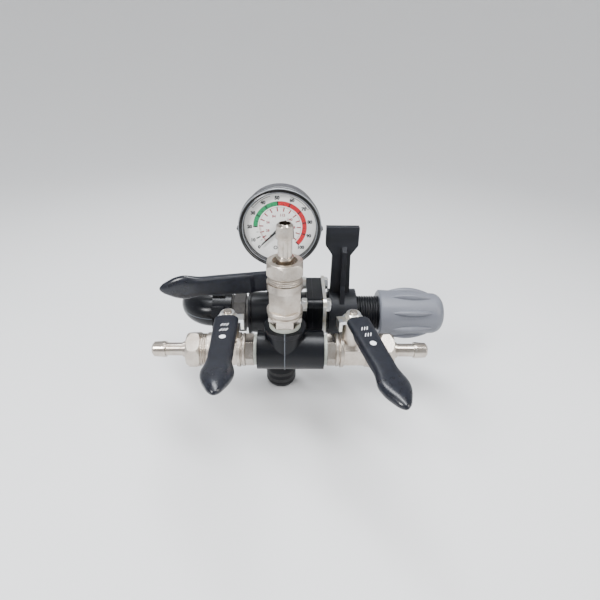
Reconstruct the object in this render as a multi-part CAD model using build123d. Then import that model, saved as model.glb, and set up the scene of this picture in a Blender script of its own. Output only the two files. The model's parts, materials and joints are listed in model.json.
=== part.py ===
from build123d import *
import math
import os

# Control unit of a field sprayer: a pressure regulator with a gauge, a bypass lever
# and a manifold with three lever ball valves. Sizes are in millimetres.
# Origin: the spigot's axis at its shoulder. +X runs to the regulator knob, +Y is the back, +Z is up.

# Clearances
running = 0.06
fit_gap = 0.10
seat_gap = 0.30

# Main regulator tube and the ports on it
main_z = 51.0
main_radius = 18.8
main_left = -28.6
rim_radius = 20.6
rim_length = 2.2
chamber_radius = 14.0
seat_wall_left = -10.2
seat_wall_right = -4.2
seat_hole_radius = 9.5
return_bore = 10.5
adapter_thread_radius = 13.2
adapter_thread_depth = 12.0

# Inlet leg and its spigot
leg_radius = 16.4
spigot_radius = 14.5
spigot_length = 28.5
spigot_nose = ((5.0, 0.0), (2.2, 1.2), (0.0, 3.2))
inlet_bore = 9.0
ring_positions = (-12.6, -19.8)
ring_width = 3.0
ring_depth = 2.4

# Manifold in front of the tube, with its boss for the top valve
manifold_y = -52.0
manifold_z = main_z - 4.5
manifold_radius = 16.0
manifold_left = -17.9
manifold_right = 36.5
boss_x = 4.8
boss_top = manifold_z + 24.3
boss_radius = 15.0
boss_rim_radius = 16.9
boss_rim_length = 4.0
manifold_bore = 8.0
neck_radius = 13.0
seam_height = 0.5
seam_width = 1.0

# Ball valves, measured outward from the manifold's face along the flow axis
valve_thread_radius = 10.4
valve_thread_depth = 10.0
port_bore = 6.0
gasket_thickness = 2.6
gasket_radius = 12.6
nipple_hex_flats = 23.0
nipple_hex_start = 2.9
nipple_hex_end = 9.4
stem_at = 22.5
ball_radius = 9.5
seat_reach = ball_radius + 0.5
ball_chamber_radius = ball_radius + 0.5
nipple_seat_end = stem_at - seat_reach
nipple_screw_radius = ball_chamber_radius + 1.9
collar_radius = ball_chamber_radius + 4.3
collar_end = 16.5
bead_depth = 1.5
bead_edge = 0.6
barrel_flats = 2 * ball_chamber_radius + 4.0
barrel_end = 34.0
shoulder_radius = ball_chamber_radius + 4.0
shoulder_end = 40.2
thread_radius = 13.1
thread_end = 50.5
thread_pitch = 1.8
thread_depth = 0.9
neck_boss_radius = 8.0
neck_boss_top = 28.5
stem_radius = 3.95
stem_shoulder_radius = 6.0
stem_shoulder_bottom = ball_radius + 0.7
stem_shoulder_top = stem_shoulder_bottom + 1.3
stem_seal_top = stem_shoulder_top + 1.2
stem_flats = 5.6
stem_thread_radius = 3.0
tang_width = 3.6
tang_length = 4.4
tang_bottom = ball_radius - 2.3

# Union nuts and hose tails
union_start = 46.2
union_end = 57.2
union_flats = 27.0
union_lip = 3.0
union_face_step = 0.3
union_face_edge = 0.5
union_chamfer = 3.6
union_back_chamfer = 2.4
union_gasket_thickness = 1.5
tail_flange_radius = 12.2
union_mouth_radius = tail_flange_radius - 2.6
tail_collar_radius = 6.55
tail_collar_end = 60.7
tail_pipe_radius = 5.4
tail_bulb_start = 75.0
tail_bulb_radius = 6.7
tail_bulb_peak = 76.7
tail_end = 86.0
tail_tip_radius = 6.1
tail_tip_edge = 1.4
tail_bore = 4.1

# Levers: a bent steel plate, and a plastic grip over it
grip_start = 10.0
grip_length = 95.8
plate_thickness = 2.5
plate_bottom = 28.8
plate_hub_radius = 8.6
plate_width = 12.0
plate_crank_start = 7.2
plate_crank_end = 12.5
plate_crank_rise = 4.2
plate_end = grip_start + grip_length - 20.8
tab_reach = 12.4
tab_width = 9.0
tab_drop = 9.0
lever_nut_flats = 10.8
lever_nut_height = 5.0
stem_above_nut = 1.2
grip_thickness = 9.0
grip_start_half_width = 9.1
grip_neck_half_width = 8.1
grip_head_half_width = 10.8
grip_head_profile = (
    (36.0, 8.1), (31.5, 8.8), (26.5, 10.2), (22.0, 10.8), (16.0, 10.1), (9.0, 7.8), (3.5, 4.8),
)
grip_start_corner = 1.8
grip_relief_end = 28.0
grip_relief_depth = 2.0
grip_edge = 3.0

# Return side: hex adapter, union ring and elbow
adapter_bore = 10.0
adapter_collar_radius = 14.6
adapter_hex_right = -31.4
adapter_hex_left = -41.8
adapter_hex_flats = 31.0
adapter_nose = -53.2
adapter_nose_radius = 16.0
elbow_gasket_thickness = 1.5
elbow_radius = 13.4
elbow_bore = 10.4
elbow_bend_radius = 20.4
elbow_end_y = 41.0
elbow_rim_radius = 14.8
elbow_rim_length = 4.0
elbow_flange_radius = 16.0
elbow_flange_thickness = 3.0
ring_nut_left = -60.8
ring_nut_right = -43.8
ring_nut_radius = 18.0
ring_nut_collar_length = 6.0
ring_nut_lug_radius = 19.4
ring_nut_lug_width = 9.5
ring_nut_lugs = 6

# Nested tubes of the regulator: the sleeve, the guide tube round it and the lever hub
sleeve_outer_radius = 15.7
guide_outer_radius = sleeve_outer_radius + 2.1
hub_radius = guide_outer_radius + 4.5

# Diaphragm joint: two square flanges, a clamp plate and four bolts
body_flange_left = 23.3
flange_joint = 28.3
bonnet_flange_right = 37.0
bolt_head_flats = 10.0
bolt_pitch = math.sqrt(2) * (hub_radius + bolt_head_flats / math.sqrt(3) + seat_gap)
flange_size = bolt_pitch + 11.0
flange_corner = 6.5
plate_size = flange_size + 3.0
clamp_plate_thickness = 2.8
plate_right = bonnet_flange_right + clamp_plate_thickness
bolt_radius = 3.0
bolt_hole_radius = 3.3
bolt_head_height = 4.0
bolt_head_right = plate_right + bolt_head_height
bolt_nut_height = 5.0
bolt_tip = 2.6
diaphragm_radius = 22.0
diaphragm_thickness = 2.0

# Bonnet tube, sleeve, spring and thrust pieces
bonnet_collar_radius = guide_outer_radius + 1.1
bonnet_collar_right = 42.6
bonnet_cavity_radius = sleeve_outer_radius + 1.3
guide_end = 67.7
sleeve_inner_radius = sleeve_outer_radius - 3.0
sleeve_left = 43.8
sleeve_right = 94.3
sleeve_thread_left = 69.0
sleeve_thread_pitch = 2.4
sleeve_thread_depth = 1.1
cam_pin_x = 53.8
cam_pin_radius = 2.4
cam_pin_reach = guide_outer_radius + 1.8
cam_travel = 5.0
retaining_ring_left = 65.5
retaining_ring_width = 1.2
retaining_ring_depth = 0.8
retaining_ring_radius = guide_outer_radius + 1.5
retaining_ring_mouth = 3.0
spring_left = 36.3
spring_right = 97.3
spring_mean_radius = sleeve_inner_radius - 2.8
spring_wire_radius = 1.5
spring_turns = 9.0
thrust_plate_thickness = 3.5
thrust_plate_radius = sleeve_inner_radius - 0.7
spring_plate_radius = sleeve_inner_radius - 0.2
thrust_pin_radius = 4.0
thrust_pin_end = 141.0

# Poppet and its plates
poppet_radius = 8.6
poppet_thickness = 4.0
poppet_cone_length = 2.0
poppet_pilot_length = 2.5
poppet_pilot_taper = 0.6
poppet_seat_bore = 6.5
seat_flange_radius = 11.5
seat_flange_thickness = 1.6
poppet_stem_radius = 4.0
poppet_plate_radius = 13.5
poppet_plate_thickness = 2.5

# Knob
knob_left = 88.8
knob_right = 148.4
knob_bore = sleeve_outer_radius + 0.1
knob_left_radius = knob_bore + 5.6
knob_right_radius = knob_bore + 2.8
knob_shoulder = 119.8
knob_inner_radius = 12.6
knob_ribs = 8
knob_rib_turn = 15.0
knob_rib_radius = 2.9
knob_rib_height = 4.0
knob_rib_start = 98.5
knob_rib_end = 137.0
knob_rib_sink = 0.3
knob_end_round = 10.0
knob_rim_edge = 1.2

# Gauge
tower_top = main_z + 35.0
case_radius = 31.4
gauge_z = tower_top + case_radius + 18.4
gauge_front = -11.0
bezel_radius = case_radius + 2.6
bezel_depth = 8.5
bezel_opening = case_radius - 2.0
bezel_lip = 1.4
bezel_lug = 1.4
bezel_lug_width = 3.0
case_back = 13.0
case_wall = 1.6
lens_thickness = 1.6
dial_front = -5.2
dial_thickness = 0.8
dial_radius = case_radius - 2.0
pointer_length = dial_radius - 6.4
pointer_tail = 8.0
pointer_half_width = 1.3
pointer_tail_half_width = 1.7
pointer_tip_half_width = 0.25
pointer_thickness = 0.6
pointer_front = -7.3
pointer_hub_radius = 3.0
pointer_zero = 225.0
spindle_radius = 1.0
tower_radius = 12.5
gauge_port_y = 4.0
gauge_thread_radius = 6.5
gauge_thread_depth = 11.0
gauge_gasket_thickness = 1.2
gauge_gasket_radius = 9.5
gauge_hex_flats = 14.0
gauge_hex_height = 9.0
gauge_neck_radius = 6.0
socket_width = 13.0
socket_depth = 9.0
socket_bore = 2.0
bourdon_radius = case_radius - 10.9
bourdon_tube_radius = 2.2
bourdon_sweep = 250.0
bourdon_back_gap = 0.3
movement_height = 14.0
movement_width = 21.0
movement_corner = 2.0
movement_front = -3.6
movement_back = 3.4

# Bypass lever
hub_left = 43.0
hub_right = 67.5
arm_x = 52.3
arm_thickness = 6.0
arm_left = bolt_head_right + seat_gap
arm_root_reach = 9.2
arm_neck_half_width = 7.8
arm_neck_height = 59.0
paddle_gauge_gap = 3.05
paddle_half_width = arm_x - bezel_radius - bezel_lug - paddle_gauge_gap
paddle_low = 68.0
paddle_high = 84.0
rib_offset = 2.2
rib_width = 4.2
rib_height = 4.0
rib_top = 70.0

ALONG_X = Plane.YZ
ALONG_Y = Plane.ZX
ALONG_Z = Plane.XY


def bar(direction, section, start, end, at=(0, 0, 0)):
    """A straight bar of any section, from start to end along one direction, moved by at."""
    return Pos(*at) * extrude(direction.offset(start) * section, amount=end - start)


def turned(points):
    """A solid turned about X from (distance along X, radius) points."""
    return revolve(make_face(Polyline(*points, close=True)), Axis.X)


def hexagon(flats):
    """A hexagon given its size across the flats."""
    return RegularPolygon(flats / 2, 6, major_radius=False)


def ridges(start, end, crest, depth, pitch):
    """Profile points of a run of thread ridges from start to end."""
    count = max(1, round(abs(end - start) / pitch))
    step = (end - start) / count
    points = []
    for turn in range(count):
        points.append((start + step * turn, crest - depth))
        points.append((start + step * (turn + 0.35), crest))
        points.append((start + step * (turn + 0.65), crest))
    points.append((end, crest - depth))
    return points


def ring(direction, outer, inner, start, end, at=(0, 0, 0)):
    """A plain ring."""
    return bar(direction, Circle(outer) - Circle(inner), start, end, at)


def bolt_circle():
    """Places of the four flange bolts, as (Y, Z) from the main axis."""
    half = bolt_pitch / 2
    return [(y, z) for y in (-half, half) for z in (-half, half)]


MAIN = (0, 0, main_z)
MANIFOLD = (0, manifold_y, manifold_z)
BOSS = (boss_x, manifold_y, 0)
GAUGE_PORT = (0, gauge_port_y, 0)
GAUGE = (0, 0, gauge_z)


def spigot_profile():
    """Outline of the spigot in (radius, height), with its ring grooves and its rounded nose."""
    points = [(0, 0), (spigot_radius, 0)]
    for middle in ring_positions:
        high = middle + ring_width / 2
        low = middle - ring_width / 2
        points += [(spigot_radius, high), (spigot_radius - ring_depth, high)]
        points += [(spigot_radius - ring_depth, low), (spigot_radius, low)]
    points += [(spigot_radius - inset, height - spigot_length) for height, inset in spigot_nose]
    return points + [(0, -spigot_length)]


def valve_body():
    """The black moulding: regulator tube, inlet leg, gauge tower, neck, manifold and boss."""
    flange = RectangleRounded(flange_size, flange_size, flange_corner)
    solid = bar(ALONG_X, Circle(main_radius), main_left, flange_joint, MAIN)
    solid += bar(ALONG_X, Circle(rim_radius), main_left, main_left + rim_length, MAIN)
    solid += bar(ALONG_X, flange, body_flange_left, flange_joint, MAIN)
    solid += bar(ALONG_Z, Circle(tower_radius), main_z, tower_top, GAUGE_PORT)
    solid += bar(ALONG_Z, Circle(leg_radius), 0, main_z)
    solid += bar(ALONG_Y, Circle(neck_radius), manifold_y, 0, (boss_x, 0, manifold_z))
    solid += bar(ALONG_X, Circle(manifold_radius), manifold_left, manifold_right, MANIFOLD)
    solid += bar(ALONG_Z, Circle(boss_radius), manifold_z, boss_top, BOSS)
    rim_bottom = boss_top - boss_rim_length
    solid += bar(ALONG_Z, Circle(boss_rim_radius), rim_bottom, boss_top, BOSS)
    seam = manifold_radius + seam_height
    boss_seam = 2 * (boss_radius + seam_height)
    solid += bar(ALONG_Z, Rectangle(seam_width, boss_seam), manifold_z, rim_bottom, BOSS)
    solid += bar(ALONG_X, Circle(seam), boss_x - seam_width / 2, boss_x + seam_width / 2, MANIFOLD)
    spigot = revolve(Plane.XZ * make_face(Polyline(*spigot_profile(), close=True)), Axis.Z)
    solid += spigot

    solid -= bar(ALONG_X, Circle(return_bore), main_left, seat_wall_left, MAIN)
    adapter_end = main_left + adapter_thread_depth
    solid -= bar(ALONG_X, Circle(adapter_thread_radius + fit_gap), main_left, adapter_end + 1, MAIN)
    solid -= bar(ALONG_X, Circle(seat_hole_radius), seat_wall_left, seat_wall_right, MAIN)
    solid -= bar(ALONG_X, Circle(chamber_radius), seat_wall_right, flange_joint, MAIN)
    solid -= bar(ALONG_Z, Circle(inlet_bore), -spigot_length, main_z)
    socket_floor = tower_top - gauge_thread_depth - 1
    solid -= bar(ALONG_Z, Circle(tail_bore), main_z, socket_floor, GAUGE_PORT)
    solid -= bar(ALONG_Z, Circle(gauge_thread_radius + fit_gap), socket_floor, tower_top, GAUGE_PORT)
    solid -= bar(ALONG_Y, Circle(manifold_bore), manifold_y, 0, (boss_x, 0, manifold_z))
    solid -= bar(ALONG_X, Circle(manifold_bore), manifold_left, manifold_right, MANIFOLD)
    solid -= bar(ALONG_Z, Circle(manifold_bore), manifold_z, boss_top, BOSS)
    screw = Circle(valve_thread_radius + fit_gap)
    depth = valve_thread_depth + 1
    solid -= bar(ALONG_X, screw, manifold_left, manifold_left + depth, MANIFOLD)
    solid -= bar(ALONG_X, screw, manifold_right - depth, manifold_right, MANIFOLD)
    solid -= bar(ALONG_Z, screw, boss_top - depth, boss_top, BOSS)
    for y, z in bolt_circle():
        solid -= bar(ALONG_X, Circle(bolt_hole_radius), body_flange_left, flange_joint, (0, y, main_z + z))
    return solid


def spigot_rings():
    """Two sealing rings, level with the spigot as they are in their socket."""
    floor = spigot_radius - ring_depth
    return [
        ring(ALONG_Z, spigot_radius - 0.02, floor, middle - ring_width / 2, middle + ring_width / 2)
        for middle in ring_positions
    ]


# Ball valve pieces, each in the valve's own frame: X is the flow axis, Z is the stem.


def nipple():
    """Hex end piece that screws into the manifold and holds the inner ball seat."""
    screw = ridges(-valve_thread_depth, 0, valve_thread_radius, thread_depth, thread_pitch)
    outline = [(-valve_thread_depth, 0)] + screw
    outline += [(nipple_hex_start, valve_thread_radius - thread_depth), (nipple_hex_start, 0)]
    solid = turned(outline)
    solid += bar(ALONG_X, hexagon(nipple_hex_flats), nipple_hex_start, nipple_hex_end)
    solid += bar(ALONG_X, Circle(nipple_screw_radius), nipple_hex_end, nipple_seat_end)
    return solid - bar(ALONG_X, Circle(port_bore), -valve_thread_depth, nipple_seat_end)


def ball_valve_body():
    """Brass barrel with the ball chamber, the stem boss and the union thread."""
    waist = collar_radius - bead_depth
    middle = (nipple_hex_end + collar_end) / 2
    solid = turned([
        (nipple_hex_end, 0), (nipple_hex_end, waist), (nipple_hex_end + bead_edge, collar_radius - bead_edge),
        (middle - 2 * bead_edge, collar_radius - bead_edge), (middle - bead_edge, waist), (middle, waist),
        (middle + bead_edge, collar_radius), (collar_end - bead_edge, collar_radius),
        (collar_end, collar_radius - bead_edge), (collar_end, 0)])
    barrel = bar(ALONG_X, Rot(0, 0, 30) * hexagon(barrel_flats), collar_end - 1, barrel_end + 1)
    solid += barrel
    solid += bar(ALONG_X, Circle(shoulder_radius), barrel_end, shoulder_end)
    thread = ridges(shoulder_end, thread_end, thread_radius, thread_depth, thread_pitch)
    solid += turned([(shoulder_end, 0)] + thread + [(thread_end, 0)])
    solid += bar(ALONG_Z, Circle(neck_boss_radius), 0, neck_boss_top, (stem_at, 0, 0))
    chamber_end = stem_at + seat_reach
    solid -= bar(ALONG_X, Circle(nipple_screw_radius + fit_gap), nipple_hex_end, nipple_seat_end)
    solid -= bar(ALONG_X, Circle(ball_chamber_radius), nipple_seat_end, chamber_end)
    solid -= bar(ALONG_X, Circle(port_bore), chamber_end, thread_end)
    at_stem = (stem_at, 0, 0)
    solid -= bar(ALONG_Z, Circle(stem_shoulder_radius + seat_gap), 0, stem_seal_top, at_stem)
    return solid - bar(ALONG_Z, Circle(stem_radius + running), stem_seal_top, neck_boss_top, at_stem)


def ball(lever_angle):
    """Bored ball with the slot that the stem's tang turns."""
    solid = Sphere(ball_radius)
    turned_bore = Rot(0, 0, lever_angle) * bar(ALONG_X, Circle(port_bore), -ball_radius, ball_radius)
    slot = Rot(0, 0, lever_angle) * Rectangle(2 * ball_radius, tang_width + 2 * fit_gap)
    solid = solid - turned_bore - bar(ALONG_Z, slot, tang_bottom - fit_gap, ball_radius)
    return Pos(stem_at, 0, 0) * solid


def ball_seat(side):
    """Seat ring with a face that fits the ball; side is -1 or 1 along the flow axis."""
    face = ball_radius + running
    outer = ball_chamber_radius - fit_gap
    high, middle, low = face - 0.5, face - 1.9, port_bore
    near, curve, far = (math.sqrt(face ** 2 - radius ** 2) for radius in (high, middle, low))
    outline = Polyline((far, low), (seat_reach, low), (seat_reach, outer), (near, outer), (near, high))
    outline += ThreePointArc((near, high), (curve, middle), (far, low))
    solid = revolve(make_face(outline), Axis.X)
    if side < 0:
        solid = Rot(0, 0, 180) * solid
    return Pos(stem_at, 0, 0) * solid


def stem(lever_angle):
    """Stem with its tang, shoulder, shaft, flats and nut thread."""
    tang = Rot(0, 0, lever_angle) * Rectangle(tang_length, tang_width)
    solid = bar(ALONG_Z, tang, tang_bottom, stem_shoulder_bottom)
    solid += bar(ALONG_Z, Circle(stem_shoulder_radius), stem_shoulder_bottom, stem_shoulder_top)
    solid += bar(ALONG_Z, Circle(stem_radius), stem_shoulder_top, plate_bottom)
    flats = Rectangle(stem_flats, stem_flats)
    solid += Rot(0, 0, lever_angle) * bar(ALONG_Z, flats, plate_bottom, plate_bottom + plate_thickness)
    nut_top = plate_bottom + plate_thickness + lever_nut_height
    threaded = Circle(stem_thread_radius)
    solid += bar(ALONG_Z, threaded, plate_bottom + plate_thickness, nut_top + stem_above_nut)
    return Pos(stem_at, 0, 0) * solid


def stem_seal():
    """Thrust seal between the stem's shoulder and the boss."""
    seal = Circle(stem_shoulder_radius) - Circle(stem_radius + running)
    return bar(ALONG_Z, seal, stem_shoulder_top + fit_gap, stem_seal_top, (stem_at, 0, 0))


def lever_nut():
    """Hex nut that holds the lever on the stem."""
    section = Rot(0, 0, 90) * hexagon(lever_nut_flats) - Circle(stem_thread_radius + running)
    bottom = plate_bottom + plate_thickness
    return bar(ALONG_Z, section, bottom, bottom + lever_nut_height, (stem_at, 0, 0))


def lever_frame(lever_angle, lever_tilt):
    """Where the straight part of a lever lies: X out along it from the stem, Z up from the plate."""
    hinge = Pos(stem_at, 0, plate_bottom) * Rot(0, 0, lever_angle) * Pos(plate_crank_start, 0, 0)
    return hinge * Rot(0, -lever_tilt, 0) * Pos(-plate_crank_start, 0, 0)


def lever_plate(lever_angle, lever_tilt, tab_angle):
    """Steel plate: hub with a square hole, a down-bent stop tab, a crank and the blade in the grip."""
    top = plate_thickness
    hub = extrude(Circle(plate_hub_radius) + Pos(plate_crank_start / 2, 0) * Rectangle(
        plate_crank_start, plate_width), amount=top)
    arm_length = tab_reach - plate_thickness / 2
    tab = Box(arm_length, tab_width, top, align=(Align.MIN, Align.CENTER, Align.MIN))
    drop = Box(plate_thickness, tab_width, tab_drop, align=(Align.MAX, Align.CENTER, Align.MAX))
    tab += Pos(tab_reach, 0, top) * drop
    hub += Rot(0, 0, tab_angle) * tab
    hub -= extrude(Rectangle(stem_flats + 0.1, stem_flats + 0.1), amount=top)
    low = plate_crank_start
    high = plate_crank_end
    rise = plate_crank_rise
    side = Polyline((low - 1, 0), (low, 0), (high, rise), (plate_end, rise), (plate_end, rise + top),
                    (high - 1, rise + top), (low - 1, top), close=True)
    blade = extrude(Plane.XZ * make_face(side), amount=plate_width / 2, both=True)
    at_stem = Pos(stem_at, 0, plate_bottom) * Rot(0, 0, lever_angle)
    return at_stem * hub + lever_frame(lever_angle, lever_tilt) * blade


def grip_outline():
    """Plan of the grip: a shank that narrows a little and a teardrop head."""
    tip = grip_start + grip_length
    head = [(tip - distance, half_width) for distance, half_width in grip_head_profile]
    low_head = [(x, -y) for x, y in reversed(head)]
    neck_x = head[0][0]
    slope = (grip_neck_half_width - grip_start_half_width) / (neck_x - grip_start)
    head_line = Spline(*head, (tip, 0), *low_head, tangents=((1, slope), (-1, slope)))
    corner_x = grip_start + grip_start_corner
    corner_y = grip_start_half_width - grip_start_corner
    shank_line = Polyline(low_head[-1], (corner_x, -grip_start_half_width), (grip_start, -corner_y),
                          (grip_start, corner_y), (corner_x, grip_start_half_width), head[0])
    return make_face(head_line + shank_line)


def grip(lever_angle, lever_tilt):
    """Plastic grip, moulded over the blade, with a relief under its hub end."""
    bottom = plate_crank_rise + plate_thickness / 2 - grip_thickness / 2
    solid = Pos(0, 0, bottom) * extrude(grip_outline(), amount=grip_thickness)
    top_edges = solid.edges().group_by(Axis.Z)[-1]
    bottom_edges = solid.edges().group_by(Axis.Z)[0]
    solid = fillet(top_edges + bottom_edges, grip_edge)
    relief = Box(grip_relief_end + 2, 4 * grip_head_half_width, grip_relief_depth,
                 align=(Align.MIN, Align.CENTER, Align.MIN))
    solid -= Pos(-2, 0, bottom) * relief
    blade = Box(plate_end + fit_gap, plate_width + 2 * fit_gap, plate_thickness + 2 * fit_gap,
                align=(Align.MIN, Align.CENTER, Align.MIN))
    solid -= Pos(0, 0, plate_crank_rise - fit_gap) * blade
    crank = Box(plate_crank_end + 0.4, plate_width + 2 * fit_gap, grip_thickness,
                align=(Align.MIN, Align.CENTER, Align.MAX))
    solid -= Pos(0, 0, plate_crank_rise) * crank
    return lever_frame(lever_angle, lever_tilt) * solid


def union_nut():
    """Hex nut that draws the hose tail onto the valve's thread."""
    end = bar(ALONG_X, Rot(0, 0, 30) * hexagon(union_flats), union_start, union_end)
    corner = union_flats / math.sqrt(3) + 0.1
    face = union_flats / 2 + union_face_step
    dome = turned([(union_start, 0), (union_start, face), (union_start + union_back_chamfer, corner),
                   (union_end - union_chamfer, corner), (union_end, face - union_face_edge),
                   (union_end, 0)])
    solid = end & dome
    inner_end = union_end - union_lip
    solid -= bar(ALONG_X, Circle(thread_radius + fit_gap), union_start, inner_end)
    return solid - bar(ALONG_X, Circle(union_mouth_radius), inner_end, union_end)


def union_gasket():
    """Flat gasket between the valve's thread end and the hose tail's flange."""
    return ring(ALONG_X, thread_radius - thread_depth, port_bore + 0.5, thread_end,
                thread_end + union_gasket_thickness)


def hose_tail():
    """Hose tail: sealing flange, collar, plain pipe and one bulb at the tip."""
    flange_start = thread_end + union_gasket_thickness
    flange_end = union_end - union_lip
    outline = [(flange_start, tail_bore), (flange_start, tail_flange_radius),
               (flange_end, tail_flange_radius), (flange_end, tail_collar_radius),
               (tail_collar_end, tail_collar_radius), (tail_collar_end, tail_pipe_radius),
               (tail_bulb_start, tail_pipe_radius), (tail_bulb_start, tail_bulb_radius),
               (tail_bulb_peak, tail_bulb_radius), (tail_end - tail_tip_edge, tail_tip_radius),
               (tail_end, tail_tip_radius - tail_tip_edge), (tail_end, tail_bore)]
    return turned(outline)


def nipple_gasket():
    """Thin sealing ring under the nipple's hex."""
    outer = Circle(gasket_radius)
    inner = Circle(valve_thread_radius - thread_depth + fit_gap)
    return bar(ALONG_X, outer - inner, 0, gasket_thickness)


# Where the three valves sit, and how each lever stands at rest: its direction
# in the valve's own frame, how far its blade is bent up, and the stop tab's direction.
valve_places = {
    "left": Pos(manifold_left, manifold_y, manifold_z) * Rot(0, 0, 180),
    "right": Pos(manifold_right, manifold_y, manifold_z),
    "top": Location(Plane(origin=(boss_x, manifold_y, boss_top), x_dir=(0, 0, 1), z_dir=(0, 1, 0))),
}
lever_settings = {
    "left": (93.0, 6.0, 90.0),
    "right": (-78.6, -1.0, -90.0),
    "top": (-93.5, -3.0, 180.0),
}


# Regulator pieces


def hex_adapter():
    """Threaded adapter between the regulator's return port and the union ring."""
    screw_end = main_left + adapter_thread_depth
    outline = [(adapter_nose, 0)]
    outline += ridges(adapter_nose, adapter_hex_left, adapter_nose_radius, thread_depth, thread_pitch)
    outline += [(adapter_hex_left, adapter_collar_radius), (main_left, adapter_collar_radius)]
    outline += ridges(main_left, screw_end, adapter_thread_radius, thread_depth, thread_pitch)
    outline += [(screw_end, 0)]
    solid = turned(outline)
    solid += bar(ALONG_X, hexagon(adapter_hex_flats), adapter_hex_left, adapter_hex_right)
    solid -= bar(ALONG_X, Circle(adapter_bore), adapter_nose, screw_end)
    return Pos(*MAIN) * solid


def elbow_gasket():
    """Flat gasket in the elbow's union."""
    return ring(ALONG_X, adapter_nose_radius - thread_depth, elbow_bore,
                adapter_nose - elbow_gasket_thickness, adapter_nose, MAIN)


def elbow():
    """Bent outlet that turns to the back, with a flange for the union ring and a rim at its end."""
    face = adapter_nose - elbow_gasket_thickness
    bend_x = ring_nut_left + seat_gap
    elbow_axis_x = bend_x - elbow_bend_radius
    run = Line((face, 0, 0), (bend_x, 0, 0))
    bend = RadiusArc((bend_x, 0, 0), (elbow_axis_x, elbow_bend_radius, 0), elbow_bend_radius)
    out = Line((elbow_axis_x, elbow_bend_radius, 0), (elbow_axis_x, elbow_end_y, 0))
    path = run + bend + out
    start = Plane(origin=(face, 0, 0), z_dir=(-1, 0, 0))
    outside = sweep(start * Circle(elbow_radius), path=path)
    inside = sweep(start * Circle(elbow_bore), path=path)
    flange = bar(ALONG_X, Circle(elbow_flange_radius), face - elbow_flange_thickness, face)
    rim = bar(ALONG_Y, Circle(elbow_rim_radius), elbow_end_y - elbow_rim_length, elbow_end_y,
              (elbow_axis_x, 0, 0))
    return Pos(*MAIN) * (outside + flange + rim - inside)


def union_ring_nut():
    """Ring nut with lugs that holds the elbow on the adapter."""
    lip_right = adapter_nose - elbow_gasket_thickness - elbow_flange_thickness
    solid = bar(ALONG_X, Circle(ring_nut_radius), ring_nut_left, ring_nut_right)
    for lug in range(ring_nut_lugs):
        block = Box(ring_nut_right - ring_nut_left - ring_nut_collar_length, ring_nut_lug_radius,
                    ring_nut_lug_width, align=(Align.MIN, Align.MIN, Align.CENTER))
        solid += Rot(360 / ring_nut_lugs * lug + 30, 0, 0) * Pos(ring_nut_left, 0, 0) * block
    solid -= bar(ALONG_X, Circle(elbow_radius + 2 * seat_gap), ring_nut_left, lip_right)
    solid -= bar(ALONG_X, Circle(adapter_nose_radius + fit_gap), lip_right, ring_nut_right)
    return Pos(*MAIN) * solid


def valve_seat():
    """Seat ring of the regulator, pressed into the wall between inlet and return."""
    outline = [(seat_wall_left, poppet_seat_bore), (seat_wall_left, seat_hole_radius - running),
               (seat_wall_right, seat_hole_radius - running), (seat_wall_right, seat_flange_radius),
               (seat_wall_right + seat_flange_thickness, seat_flange_radius),
               (seat_wall_right + seat_flange_thickness, poppet_seat_bore)]
    return Pos(*MAIN) * turned(outline)


def poppet():
    """Poppet with its stem, which passes through the diaphragm to the spring plate."""
    face = seat_wall_right + seat_flange_thickness + seat_gap
    plate_left = flange_joint - poppet_plate_thickness
    stem_end = spring_left
    pilot = face - poppet_pilot_length
    pilot_radius = poppet_seat_bore - seat_gap
    back = face + poppet_thickness
    cone_end = back + poppet_cone_length
    outline = [(pilot, 0), (pilot, pilot_radius - poppet_pilot_taper), (face, pilot_radius),
               (face, poppet_radius), (back, poppet_radius), (cone_end, poppet_stem_radius),
               (plate_left, poppet_stem_radius), (plate_left, poppet_plate_radius),
               (flange_joint, poppet_plate_radius), (flange_joint, poppet_stem_radius),
               (stem_end, poppet_stem_radius), (stem_end, 0)]
    return Pos(*MAIN) * turned(outline)


def diaphragm():
    """Rubber diaphragm clamped between the two flanges."""
    return ring(ALONG_X, diaphragm_radius, poppet_stem_radius, flange_joint,
                flange_joint + diaphragm_thickness, MAIN)


def spring_plate():
    """Metal plate between the diaphragm and the spring."""
    left = flange_joint + diaphragm_thickness
    guide_radius = spring_mean_radius - spring_wire_radius - 2 * fit_gap
    solid = ring(ALONG_X, spring_plate_radius, poppet_stem_radius, left, spring_left)
    solid += ring(ALONG_X, guide_radius, poppet_stem_radius, left, spring_left + spring_wire_radius)
    return Pos(*MAIN) * solid


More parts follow.
